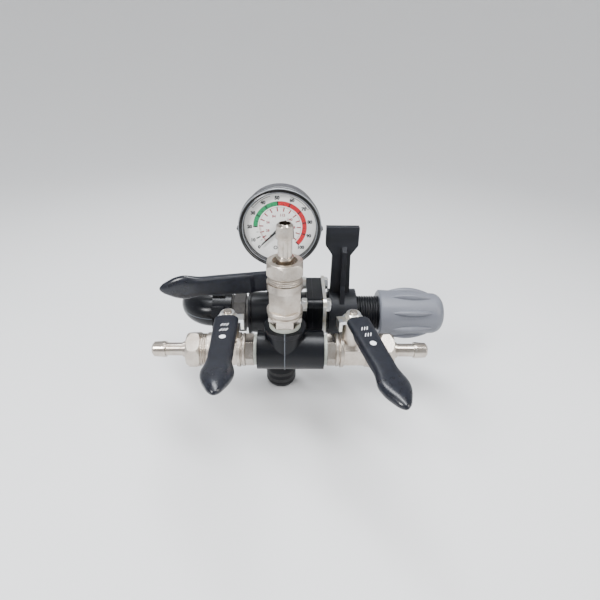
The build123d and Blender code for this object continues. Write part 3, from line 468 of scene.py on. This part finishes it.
def bright_zinc():
    """Zinc plate: cold bright steel with faint yellow and blue bloom and small handling marks."""
    f = Finish("bright_zinc")
    bloom = f.noise(0.25, 4.0, 0.6)
    grain = f.noise(6.0, 3.0, 0.6)
    marks = f.noise(1.0, 6.0, 0.75, f.stretched((0.5, 2.0, 2.0))).rise(0.55, 0.75)
    colour = f.blend(bloom.rise(0.35, 0.65), (0.70, 0.72, 0.75), (0.76, 0.73, 0.64))
    colour = f.blend(marks * 0.4, colour, (0.40, 0.40, 0.39))
    rough = 0.24 + 0.14 * grain + 0.12 * marks
    return f.done(Base_Color=colour, Metallic=1.0, Roughness=rough,
                  Normal=f.relief(grain, 0.03, edge=0.25))


def plain_metal(name, colour, rough):
    """Machined metal for the parts inside: one tone, fine grain and a little stain."""
    f = Finish(name)
    fine = f.noise(5.0, 3.0, 0.6)
    stain = f.noise(0.4, 5.0, 0.7).rise(0.5, 0.8)
    dark = tuple(0.6 * part for part in colour)
    return f.done(Base_Color=f.blend(stain * 0.5, colour, dark), Metallic=1.0,
                  Roughness=rough + 0.12 * fine, Normal=f.relief(fine, 0.02, edge=0.2))


def plain_soft(name, colour, rough):
    """Rubber, seal plastic or fibre: one tone with dust and a fine matt grain."""
    f = Finish(name)
    fine = f.noise(7.0, 3.0, 0.6)
    dust = f.noise(0.6, 5.0, 0.7).rise(0.45, 0.8)
    pale = tuple(min(1.0, part * 1.3 + 0.02) for part in colour)
    return f.done(Base_Color=f.blend(dust, colour, pale), Roughness=rough + 0.1 * fine,
                  Normal=f.relief(fine, 0.03, edge=0.2))


def grip_black():
    """Lever grips: black, satin and finely grained on the shank, polished on the head by hands.

    The map gives the place along the grip and round it, each from 0 to 1. The mould's parting
    line runs along both sides, at 0 and at a half of the way round, as a small ridge lightened
    as a painted highlight.
    """
    f = Finish("grip_black")
    along, round_it, _ = f.axes(f.uv)
    grain = f.noise(4.0, 4.0, 0.65)
    smear = f.noise(0.3, 5.0, 0.65)
    head = along.rise(0.62, 0.74)
    shank = along.rise(0.64, 0.50)
    parting = abs(abs(round_it - 0.5) - 0.25).rise(0.247, 0.2495)
    colour = f.blend(smear.rise(0.3, 0.7), (0.0030, 0.0036, 0.0065), (0.0065, 0.0078, 0.0135))
    # painted highlight: the parting line along both sides is lightened as a thin rim of light; the bump
    # below is the real ridge
    colour = f.blend(0.5 * parting, colour, (0.10, 0.11, 0.13))
    rough = 0.38 - 0.14 * head + 0.08 * smear
    height = grain * (0.05 + 0.55 * shank) + 2.0 * parting
    return f.done(Base_Color=colour, Roughness=rough, Specular_IOR_Level=0.28, Coat_Weight=0.30 * head,
                  Coat_Roughness=0.20, Normal=f.relief(height, 0.05))


def enamel_black(name, gloss, tone, highlight_crests=()):
    """Gauge case and bezel: stove enamel of one tone with a light orange-peel and rubbed spots.

    Each crest is a radius from the gauge's axis where a thin pale ring is painted as a highlight on the
    ridge.
    """
    f = Finish(name)
    peel = f.noise(1.6, 2.0, 0.5)
    rub = f.noise(0.5, 6.0, 0.75).rise(0.6, 0.75)
    colour = f.blend(rub * 0.4, (tone, tone, 1.15 * tone), (0.05, 0.05, 0.055))
    if highlight_crests:
        x, _, z = f.axes()
        radius = ((x - gauge_centre[0]) ** 2.0 + (z - gauge_centre[2]) ** 2.0).root()
        bright = sum(abs(radius - crest).rise(0.42, 0.10) for crest in highlight_crests)
        # painted highlight: thin pale rings on the bezel's ridges, where light would catch them
        colour = f.blend(bright.held() * (0.25 + 0.5 * peel), colour, (0.42, 0.44, 0.48))
    return f.done(Base_Color=colour, Roughness=gloss + 0.12 * peel + 0.1 * rub, Specular_IOR_Level=0.55,
                  Normal=f.relief(peel, 0.03, edge=0.5))


def dull_adapter():
    """Hex adapter: brown-grey filled plastic, matt, with paler clouds."""
    f = Finish("adapter_brown")
    cloud = f.noise(0.4, 4.0, 0.6)
    grain = f.noise(5.0, 3.0, 0.6)
    colour = f.blend(cloud.rise(0.3, 0.7), (0.024, 0.022, 0.021), (0.042, 0.038, 0.035))
    return f.done(Base_Color=colour, Roughness=0.44 + 0.12 * grain, Specular_IOR_Level=0.5,
                  Normal=f.relief(grain, 0.04, edge=0.5))


def dial_paint():
    """Dial plate: white paint, hardly off white, with a faint mottle."""
    f = Finish("dial_paint")
    mottle = f.noise(0.5, 4.0, 0.6)
    colour = f.blend(mottle.rise(0.3, 0.7), (0.90, 0.90, 0.88), (0.95, 0.95, 0.93))
    return f.done(Base_Color=colour, Roughness=0.42 + 0.1 * mottle, Normal=f.relief(f.noise(4.0), 0.01))


def printed_ink(name, colour):
    """Printing ink: an even tone, a little broken up, satin."""
    f = Finish(name)
    speck = f.noise(3.0, 4.0, 0.7)
    pale = tuple(min(1.0, part * 1.2 + 0.002) for part in colour)
    return f.done(Base_Color=f.blend(speck.rise(0.35, 0.75), colour, pale), Roughness=0.45 + 0.1 * speck,
                  Normal=f.relief(speck, 0.01))


def clear_lens():
    """Flat gauge lens: almost clear, sharp gloss, with a few faint hairlines."""
    f = Finish("clear_lens")
    wipe = f.noise(1.0, 5.0, 0.7, f.stretched((0.1, 0.1, 1.5))).rise(0.55, 0.8)
    return f.done(Base_Color=(0.10, 0.11, 0.12), Roughness=0.04 + 0.05 * wipe, Alpha=0.05 + 0.02 * wipe,
                  Normal=f.relief(wipe, 0.004))


# A finish for each of the record's slots, and others for the nodes that need their own
finishes = {
    "black_nylon": moulded_black("black_nylon"),
    "grey_plastic": grey_cap(),
    "adapter_black": dull_adapter(),
    "nickel_brass": turned_nickel("nickel_along_x", 0),
    "chromed_ball": plain_metal("chromed_ball", (0.80, 0.80, 0.82), 0.08),
    "brass": plain_metal("bare_brass", (0.78, 0.60, 0.30), 0.25),
    "zinc_steel": bright_zinc(),
    "lever_grip": grip_black(),
    "stainless": plain_metal("stainless", (0.62, 0.62, 0.63), 0.25),
    "spring_steel": plain_metal("spring_steel", (0.45, 0.46, 0.48), 0.30),
    "rubber": plain_soft("ring_rubber", (0.016, 0.016, 0.017), 0.55),
    "ptfe": plain_soft("seal_white", (0.40, 0.42, 0.37), 0.45),
    "fibre_gasket": plain_soft("red_fibre", (0.30, 0.09, 0.06), 0.70),
    # the two crests get pale rings painted as highlights on the bezel's ridges
    "gauge_black": enamel_black("bezel_enamel", 0.20, 0.004, highlight_crests=(30.2, 33.5)),
    "gauge_lens": clear_lens(),
    "dial_white": dial_paint(),
    "pointer_black": printed_ink("pointer_black", (0.012, 0.012, 0.012)),
}
special = {
    "valve_body": moulded_black("black_nylon_body", seam=body_seam),
    "elbow": moulded_black("black_nylon_elbow", grain=0.6, gloss=0.20, seam=elbow_seam),
    "union_ring_nut": moulded_black("black_nylon_ring", grain=0.6, gloss=0.22),
    "bypass_lever": moulded_black("black_nylon_lever", gloss=0.42, tone=1.8),
    "gauge_case": enamel_black("case_enamel", 0.42, 0.045),
}
cast = cast_nickel()
upright_nickel = turned_nickel("nickel_along_z", 2)
special.update({name: cast for name in ("union_nuts", *(side + "_valve_body" for side in valves))})
special.update({name: upright_nickel for name in ("top_hose_tail", "top_nipple",
                                                  *(side + "_stem" for side in valves))})

slot_of = {part["node"]: part["material_slot"] for part in frame["record"]["subparts"]}
for name, node in frame["nodes"].items():
    node.data.materials.clear()
    node.data.materials.append(special.get(name, finishes[slot_of[name]]))


# Lever grips


def valve_matrix(side):
    """Where a valve lies: X out along its flow from the manifold's face, Z along its stem."""
    x, y, z = manifold
    if side == "top":
        return Matrix(((0, 1, 0, x), (0, 0, 1, y), (1, 0, 0, boss_top), (0, 0, 0, 1)))
    return Matrix.Translation((manifold_ends[side], y, z)) @ turned(180.0 if side == "left" else 0.0, "Z")


def lever_matrix(side):
    """Where a lever's straight part lies, worked out as in the CAD: stem, turn, crank and tilt."""
    angle, tilt = lever_angles[side]
    hinge = valve_matrix(side) @ Matrix.Translation((stem_at, 0, plate_bottom)) @ turned(angle, "Z")
    to_crank = Matrix.Translation((crank_start, 0, 0))
    return hinge @ to_crank @ turned(-tilt, "Y") @ to_crank.inverted()


def grip_shape(along):
    """Half width, half height, underside lift and squareness of the grip at each distance along it.

    The width runs straight between stations and is smoothed by a bell curve, except near both ends.
    At the tip the width and the height close as (1 - (1 - u)^n)^0.5, where u rises from 0 at the tip.
    """
    stations = [10.0, 11.8, 69.8, 74.3, 79.3, 83.8, 88.0, 92.8, 97.3, 101.8, 105.8]
    widths = [7.3, 9.1, 8.1, 8.8, 10.2, 10.9, 10.5, 9.2, 7.1, 4.7, 2.4]
    t = np.linspace(grip_start, grip_end, 400)
    from_tip = grip_end - t
    width = np.interp(t, stations, widths)
    reach, spread = 24, 8.0
    bell = np.exp(-0.5 * (np.arange(-reach, reach + 1) / spread) ** 2)
    smooth = np.convolve(np.pad(width, reach, mode="edge"), bell / bell.sum(), mode="valid")
    inner = ramp(t, 14.0, 6.0) * ramp(from_tip, 2.8, 5.0)
    width = width * (1 - inner) + smooth * inner
    width = width * np.sqrt(1 - (1 - ramp(from_tip, 0.0, 4.5)) ** 2.4)
    height = grip_half_height * np.sqrt(1 - (1 - ramp(from_tip, 0.0, 20.0)) ** 2.6)
    square = np.interp(t, [10, 60, 78, 106], [4.2, 4.0, 2.5, 2.1])
    lift = 2.0 * (1 - ramp(t, 26.0, 3.0))
    return [np.interp(along, t, part) for part in (width, height, lift, square)]


def make_grip(side):
    """The grip: cross-sections are squared ellipses, |y/w|^n + |z/h|^n = 1, carried along the blade.

    The sections crowd towards both ends as a cosine does. The underside's lift for the hub grows
    from nothing at the middle to its full height 2 mm below.
    """
    length = grip_end - grip_start
    sections = grip_end - length * 0.5 * (1 + np.cos(np.linspace(0, math.pi, 120)))
    along = np.concatenate([[grip_start], sections])
    turn = full_turn(64)
    width, height, lift, square = grip_shape(along)
    width[0] = height[0] = 0.0
    power = 2.0 / square[:, None]
    cosine, sine = np.cos(turn), np.sin(turn)
    y = width[:, None] * np.sign(cosine) * np.abs(cosine) ** power
    z = height[:, None] * np.sign(sine) * np.abs(sine) ** power
    z = np.where(sine < 0, z + lift[:, None] * ramp(-z, 0.0, 2.0), z)
    x = along[:, None] + 0 * turn
    grid = placed(np.stack([x, y, z + grip_middle], axis=-1), lever_matrix(side))
    uv = np.stack([(x - grip_start) / length, 0 * x + turn / (2 * math.pi)], axis=-1)
    piece = surface(side + "_lever_grip", grid, wrap_columns=True, uv=uv)
    finish_piece(piece, side + "_lever", "lever_grip", finishes["lever_grip"], side + "_grip")


for side in valves:
    make_grip(side)


# Gauge: dial printing


def dial_turn(value):
    """The direction of a scale value in radians: the first step of the scale is shorter than the rest."""
    return np.radians(np.interp(value, [0.0, 10.0, 100.0], [225.0, 207.0, -45.0]))


def dial_point(value, radius):
    """A place on the dial for a scale value from 0 to 100."""
    turn = dial_turn(value)
    return np.stack([radius * np.cos(turn), radius * np.sin(turn)], axis=-1)


def print_on_dial(name, patches, colour, lift=0.04):
    """Flat printing: patches of (points, faces) laid on the dial a hair in front of its face."""
    flat, faces = join_patches(patches)
    x, _, z = gauge_centre
    points = np.stack([flat[:, 0] + x, 0 * flat[:, 0] + dial_front - lift, flat[:, 1] + z], axis=-1)
    mesh = bpy.data.meshes.new(name)
    mesh.from_pydata((points * mm).tolist(), [], faces)
    face_towards(mesh, (0.0, -1.0, 0.0))
    piece = bpy.data.objects.new(name, mesh)
    bpy.context.scene.collection.objects.link(piece)
    finish_piece(piece, "housing", "dial_white", colour)


def arc_band(first, last, inner, outer, steps=60):
    """A band between two radii from one scale value to another."""
    values = np.linspace(first, last, steps)
    return np.concatenate([dial_point(values, inner), dial_point(values, outer)]), strip_faces(steps)


def small_ring(middle, radius, width, steps=32):
    """A thin printed circle."""
    turn = np.linspace(0, 2 * math.pi, steps)
    unit = np.stack([np.cos(turn), np.sin(turn)], axis=-1)
    points = np.concatenate([unit * (radius - width / 2), unit * (radius + width / 2)]) + middle
    return points, strip_faces(steps)


def tick(value, inner, outer, width):
    """A short bar across the scale at one value."""
    turn = float(dial_turn(value))
    side = np.array([-math.sin(turn), math.cos(turn)]) * width / 2
    low, high = dial_point(value, inner), dial_point(value, outer)
    return np.array([low - side, low + side, high + side, high - side]), [[0, 1, 2, 3]]


def numeral(text, middle, height, weight):
    """A number as flat faces, centred on a point; a greater weight thickens its strokes."""
    curve = bpy.data.curves.new("numeral", "FONT")
    curve.body = text
    curve.size = 1.0
    curve.offset = 0.12 * weight
    curve.resolution_u = 3
    holder = bpy.data.objects.new("numeral", curve)
    bpy.context.scene.collection.objects.link(holder)
    mesh = bpy.data.meshes.new_from_object(holder)
    flat = np.zeros(3 * len(mesh.vertices))
    mesh.vertices.foreach_get("co", flat)
    flat = flat.reshape(-1, 3)[:, :2]
    faces = [list(polygon.vertices) for polygon in mesh.polygons]
    bpy.data.objects.remove(holder)
    bpy.data.curves.remove(curve)
    bpy.data.meshes.remove(mesh)
    low, high = flat.min(0), flat.max(0)
    scale = height / (high[1] - low[1])
    return (flat - (low + high) / 2) * scale + middle, faces


ink = printed_ink("black_ink", (0.004, 0.004, 0.004))
green = printed_ink("green_ink", (0.0, 0.26, 0.085))
red = printed_ink("red_ink", (0.55, 0.004, 0.012))
dark_red = printed_ink("dark_red_ink", (0.26, 0.004, 0.010))
white = printed_ink("white_ink", (0.75, 0.77, 0.80))

band = (18.2, 22.0)
print_on_dial("dial_green_band", [arc_band(20, 50, *band)], green)
print_on_dial("dial_red_band", [arc_band(50, 100, *band)], red)

# The outer scale: ticks over the bands and a tick at 0, the numbers, two fine double arcs above
# them that are closed at their outer ends, and a small ring low on the dial
number_radius, number_height, number_weight = 24.8, 3.2, 0.48
arc_radii, arc_width = (26.8, 28.2), 0.42
black_marks = [tick(value, *band, 1.0) for value in range(10, 101, 10)]
black_marks += [tick(value, band[0], 20.0, 0.45) for value in range(5, 100, 5) if value % 10]
black_marks.append(tick(0, band[0] - 1.0, band[1], 0.9))
black_marks += [numeral(str(value), dial_point(value, number_radius), number_height, number_weight)
                for value in range(0, 101, 10)]
black_marks += [arc_band(first, last, radius, radius + arc_width) for radius in arc_radii
                for first, last in ((33, 46), (58, 72))]
black_marks += [tick(value, arc_radii[0], arc_radii[1] + arc_width, arc_width) for value in (33, 72)]
black_marks.append(small_ring((-3.9, -18.0), 1.3, 0.7))
print_on_dial("dial_black_scale", black_marks, ink, lift=0.06)

# The inner scale: long ticks, a close run of short ones at its start, a thin line and numbers
number_radius, number_height, number_weight = 10.6, 2.3, 0.30
red_marks = [tick(value, 13.6, 17.2, 1.0) for value in range(0, 101, 7)]
red_marks += [tick(value, 15.6, 17.2, 0.35) for value in np.arange(0, 20, 1.4)]
red_marks.append(arc_band(20, 100, 17.0, 17.25))
red_marks += [numeral(str(2 * value), dial_point(value, number_radius), number_height, number_weight)
              for value in range(0, 99, 14)]
print_on_dial("dial_red_scale", red_marks, dark_red)


# Gauge: bezel


def make_bezel():
    """Bezel ring: a sloping inner lip, two ridges with a groove between, a straight side and two lugs.

    The profile is turned about the gauge's axis. A lug at either side raises the ring's outside by
    a height times 3s^2 - 2s^3, where s falls from 1 at the lug's middle to 0 at half its width.
    """
    front, back, rim, inside = bezel_front, bezel_back, bezel_radius, 31.5
    profile = rounded([
        (front + 2.3, 29.4, 0.0), (front + 0.9, 29.5, 0.3), (front + 0.25, 30.2, 0.4),
        (front + 0.9, 31.1, 0.3), (front + 0.9, 31.6, 0.3), (front, 32.3, 0.4),
        (front + 0.2, 33.3, 0.6), (front + 1.5, rim, 0.7), (front + 3.3, rim, 0.4),
        (front + 3.9, 33.4, 0.3), (front + 4.7, 33.4, 0.3), (front + 5.2, rim, 0.3),
        (back - 1.0, rim, 0.6), (back, 33.2, 0.4), (back, inside, 0.3),
        (front + 2.3, inside, 0.2), (front + 2.3, 29.4, 0.0),
    ])
    lug_half_width, lug_height = 2.2, 1.3
    turn = full_turn(288)
    along = profile[:, 0][:, None] + 0 * turn
    radius = profile[:, 1][:, None] + 0 * turn
    swell = 1 - ramp(np.abs(np.sin(turn)) * rim, 0.0, lug_half_width)
    swell = lug_height * (3 * swell ** 2 - 2 * swell ** 3)
    on_side = ramp(radius, 33.0, 0.4) * ramp(along, front + 0.6, 0.6)
    radius = radius + on_side * swell
    grid = np.stack([radius * np.cos(turn), along, radius * np.sin(turn)], axis=-1)
    ring = surface("bezel_ring", grid + np.array(gauge_centre), wrap_rows=True, wrap_columns=True)
    finish_piece(ring, "housing", "gauge_black", finishes["gauge_black"], "gauge_bezel")


make_bezel()


# Main spring


def make_spring():
    """The main spring: a round wire whose middle line is a helix, x rising evenly with the turn.

    It is two lengths that meet at one place; its left end gives way to the poppet and its
    right end to the knob.
    """
    wire, coils, meeting = 1.5, 9.0, 60.0
    poppet_travel, knob_travel = 2.5, 12.0
    low, high = (np.array(corner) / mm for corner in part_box("main_spring"))
    first, last = low[0] + wire, high[0] - wire
    coil_radius = (high[2] - low[2]) / 2 - wire
    turn = full_turn(16)[None, :, None]
    lengths = (
        ("spring_left_length", first, meeting, "poppet_lift", 1 - poppet_travel / (meeting - low[0])),
        ("spring_right_length", meeting, last, "knob_turn", 1 - knob_travel / (high[0] - meeting)),
    )
    for name, start, end, joint, keep in lengths:
        x = np.linspace(start, end, 420)
        angle = (x - first) / (last - first) * coils * 2 * math.pi
        radial = np.stack([0 * x, np.cos(angle), np.sin(angle)], axis=-1)
        middle = radial * coil_radius + np.stack([x, 0 * x, 0 * x + main_z], axis=-1)
        tangent = np.gradient(middle, axis=0)
        tangent /= np.linalg.norm(tangent, axis=1)[:, None]
        beside = np.cross(tangent, radial)
        size = np.full((len(x), 1, 1), wire)
        size[[0, -1]] = 0.0
        size[[1, -2]] = 0.7 * wire
        section = np.cos(turn) * radial[:, None, :] + np.sin(turn) * beside[:, None, :]
        grid = middle[:, None, :] + size * section
        piece = surface(name, grid, wrap_columns=True)
        replaced = ["main_spring"] if start == first else []
        finish_piece(piece, "housing", "spring_steel", finishes["spring_steel"], *replaced)
        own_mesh(piece)


make_spring()


# Nuts and bolts


def hexagon_piece(flats, ends, chamfers, bore=0.0, tip=0.0):
    """Points and faces of one nut, or of a bolt head when there is no bore, along Z about the origin.

    Ends are the low and the high face, and each end's corners are cut by a cone as deep as its
    chamfer. The radius is the lesser of flats / 2 / cos(angle from the nearest flat) and the row's
    own radius. A tip adds the bolt's bevelled end, standing out of the high face.
    """
    (low, high), (low_chamfer, high_chamfer) = ends, chamfers
    corner = flats / math.sqrt(3) + 0.01
    face = flats / 2 * 0.97
    rows = [(low, bore), (low, face)]
    rows += [(low + low_chamfer * t, face + (corner - face) * t) for t in np.linspace(0.1, 1.0, 6)]
    rows += [(high - high_chamfer * t, face + (corner - face) * t) for t in np.linspace(1.0, 0.1, 8)]
    rows.append((high, face))
    if tip:
        rows += [(high, bore), (high + tip - 0.6, bore), (high + tip, bore - 0.7), (high + tip, 0.0)]
    elif bore:
        rows += [(high, bore + 0.5), (high - 0.5, bore)]
    else:
        rows += [(high, face * 0.82), (high + 0.12, face * 0.78), (high + 0.12, 0.0)]
    turn = full_turn(96)
    from_flat = (turn + math.pi / 6) % (math.pi / 3) - math.pi / 6
    height, largest = np.array(rows).T[:, :, None]
    radius = np.minimum(largest, flats / 2 / np.cos(from_flat))
    grid = np.stack([radius * np.cos(turn), radius * np.sin(turn), height + 0 * turn], axis=-1)
    is_open = bore > 0 and not tip
    return grid.reshape(-1, 3), quad_faces(len(rows), len(turn), is_open, True)


def make_lever_nut(side):
    """The chamfered nut on a lever's stem, its corners towards the flow, with the stem's end in it."""
    points, faces = hexagon_piece(10.8, (31.3, 36.3), (0.5, 1.3), bore=3.06)
    at_stem = valve_matrix(side) @ Matrix.Translation((stem_at, 0, 0))
    points = placed(placed(points, turned(30, "Z")), at_stem)
    piece = add_piece(side + "_hex_nut", points, faces, smooth=False)
    finish_piece(piece, side + "_lever", "zinc_steel", finishes["zinc_steel"], side + "_lever_nut")


def make_flange_fasteners():
    """Four chamfered bolt heads on the clamp plate and four nuts on the body's flange."""
    head_points, head_faces = hexagon_piece(bolt_flats, (39.8, 43.7), (0.1, 1.0))
    nut_points, nut_faces = hexagon_piece(bolt_flats, (-23.3, -18.3), (0.4, 1.0), bore=3.0, tip=2.6)
    nut_points = placed(nut_points, turned(180, "Y"))
    heads, nuts = [], []
    for y, z in bolt_places:
        along_x = Matrix.Translation((0, y, main_z + z)) @ turned(90, "Y")
        heads.append((placed(head_points, along_x), head_faces))
        nuts.append((placed(nut_points, along_x), nut_faces))
    for name, patches, node in (("bolt_heads", heads, "flange_bolts"),
                                ("bolt_nuts", nuts, "flange_nuts")):
        piece = add_piece(name, *join_patches(patches), smooth=False)
        finish_piece(piece, "housing", "zinc_steel", finishes["zinc_steel"], node)


for side in valves:
    make_lever_nut(side)
make_flange_fasteners()


# Printed marks on the grips


def grip_top(along, across):
    """Height of the grip's upper face: h * (1 - |y / w|^n)^(1 / n) above its middle."""
    width, height, _, square = grip_shape(along)
    inside = np.clip(1 - np.abs(across / width) ** square, 0, 1)
    return grip_middle + height * inside ** (1 / square)


def stroke(start, end, width, steps=6):
    """A straight printed stroke, laid flat, from one (along, across) place on a grip to another."""
    start, end = np.array(start), np.array(end)
    along, across = end - start
    side = np.array([-across, along]) / math.hypot(along, across) * width / 2
    t = np.linspace(0, 1, steps)[:, None]
    middle = start * (1 - t) + end * t
    return np.concatenate([middle - side, middle + side]), strip_faces(steps)


def spot(middle, length, width, steps=28):
    """A printed oval: narrow quads from its lower edge to its upper, half width (1 - t^2)^0.5."""
    t = np.linspace(-1, 1, steps)
    half = np.sqrt(1 - t ** 2) * width / 2
    x = middle[0] + t * length / 2
    edges = [np.stack([x, middle[1] - half], -1), np.stack([x, middle[1] + half], -1)]
    return np.concatenate(edges), strip_faces(steps)


def make_marks(side):
    """Plain signs on a grip: two groups of three slanting strokes, and a round spot.

    They are laid out flat, then raised to the grip's upper face and a hair above it.
    """
    half_length, half_slant, stroke_width, print_lift = 1.9, 0.8, 0.55, 0.04
    patches = [stroke((middle + half_length, across - half_slant),
                      (middle - half_length, across + half_slant), stroke_width)
               for middle in (26.0, 34.0) for across in (-2.0, 0.0, 2.0)]
    patches.append(spot((44.5, 0.0), 5.2, 4.6))
    flat, faces = join_patches(patches)
    along, across = flat.T
    points = np.stack([along, across, grip_top(along, across) + print_lift], axis=-1)
    lever = lever_matrix(side)
    piece = add_piece(side + "_grip_marks", placed(points, lever), faces)
    face_towards(piece.data, lever.col[2][:3])
    finish_piece(piece, side + "_lever", "lever_grip", white)


for side in valves:
    make_marks(side)


# Floor, light and camera


def make_stage():
    """A plain pale bowl: a flat round floor, then a quarter circle up into a wall all the way round."""
    f = Finish("pale_floor")
    tone = f.noise(0.002, 3.0, 0.5)
    paint = f.done(Base_Color=f.blend(tone, (0.70, 0.705, 0.715), (0.73, 0.735, 0.74)), Roughness=0.8,
                   Specular_IOR_Level=0.2)
    flat_radius, bend_radius, wall_top = 900.0, 1300.0, 3600.0
    bend = np.linspace(0, math.pi / 2, 32)
    reach = np.concatenate([[0.0, flat_radius / 3], flat_radius + bend_radius * np.sin(bend),
                            [flat_radius + bend_radius]])[:, None]
    height = np.concatenate([[0.0, 0.0], bend_radius * (1 - np.cos(bend)), [wall_top]])[:, None]
    turn = full_turn(96)
    grid = np.stack([reach * np.cos(turn), reach * np.sin(turn), floor_z + height + 0 * turn], axis=-1)
    floor = surface("floor", grid, wrap_columns=True)
    face_towards(floor.data, (0.0, 0.0, 1.0))
    floor.data.materials.append(paint)
    world = bpy.data.worlds.new("studio")
    world.use_nodes = True
    background = world.node_tree.nodes["Background"]
    background.inputs["Color"].default_value = (0.84, 0.88, 0.95, 1.0)
    background.inputs["Strength"].default_value = 0.15
    bpy.context.scene.world = world


make_stage()
place_camera()
# Lamp places and sizes are in metres, powers in watts
aim = (0.0, 0.0, 0.05)
soft_box("front_left_box", (-0.48, -0.52, 0.66), aim, size=(0.22, 0.30), power=10.0)
soft_box("top_strip", (0.05, 0.04, 0.74), aim, size=(0.90, 0.13), power=9.0, tint=(0.93, 0.96, 1.0))
soft_box("right_strip", (0.62, -0.30, 0.38), aim, size=(0.12, 0.40), power=2.4, tint=(1.0, 0.96, 0.90))
soft_box("ceiling_box", (0.0, 0.0, 2.9), (0.0, 0.0, 0.0), size=(2.6, 2.6), power=50.0)
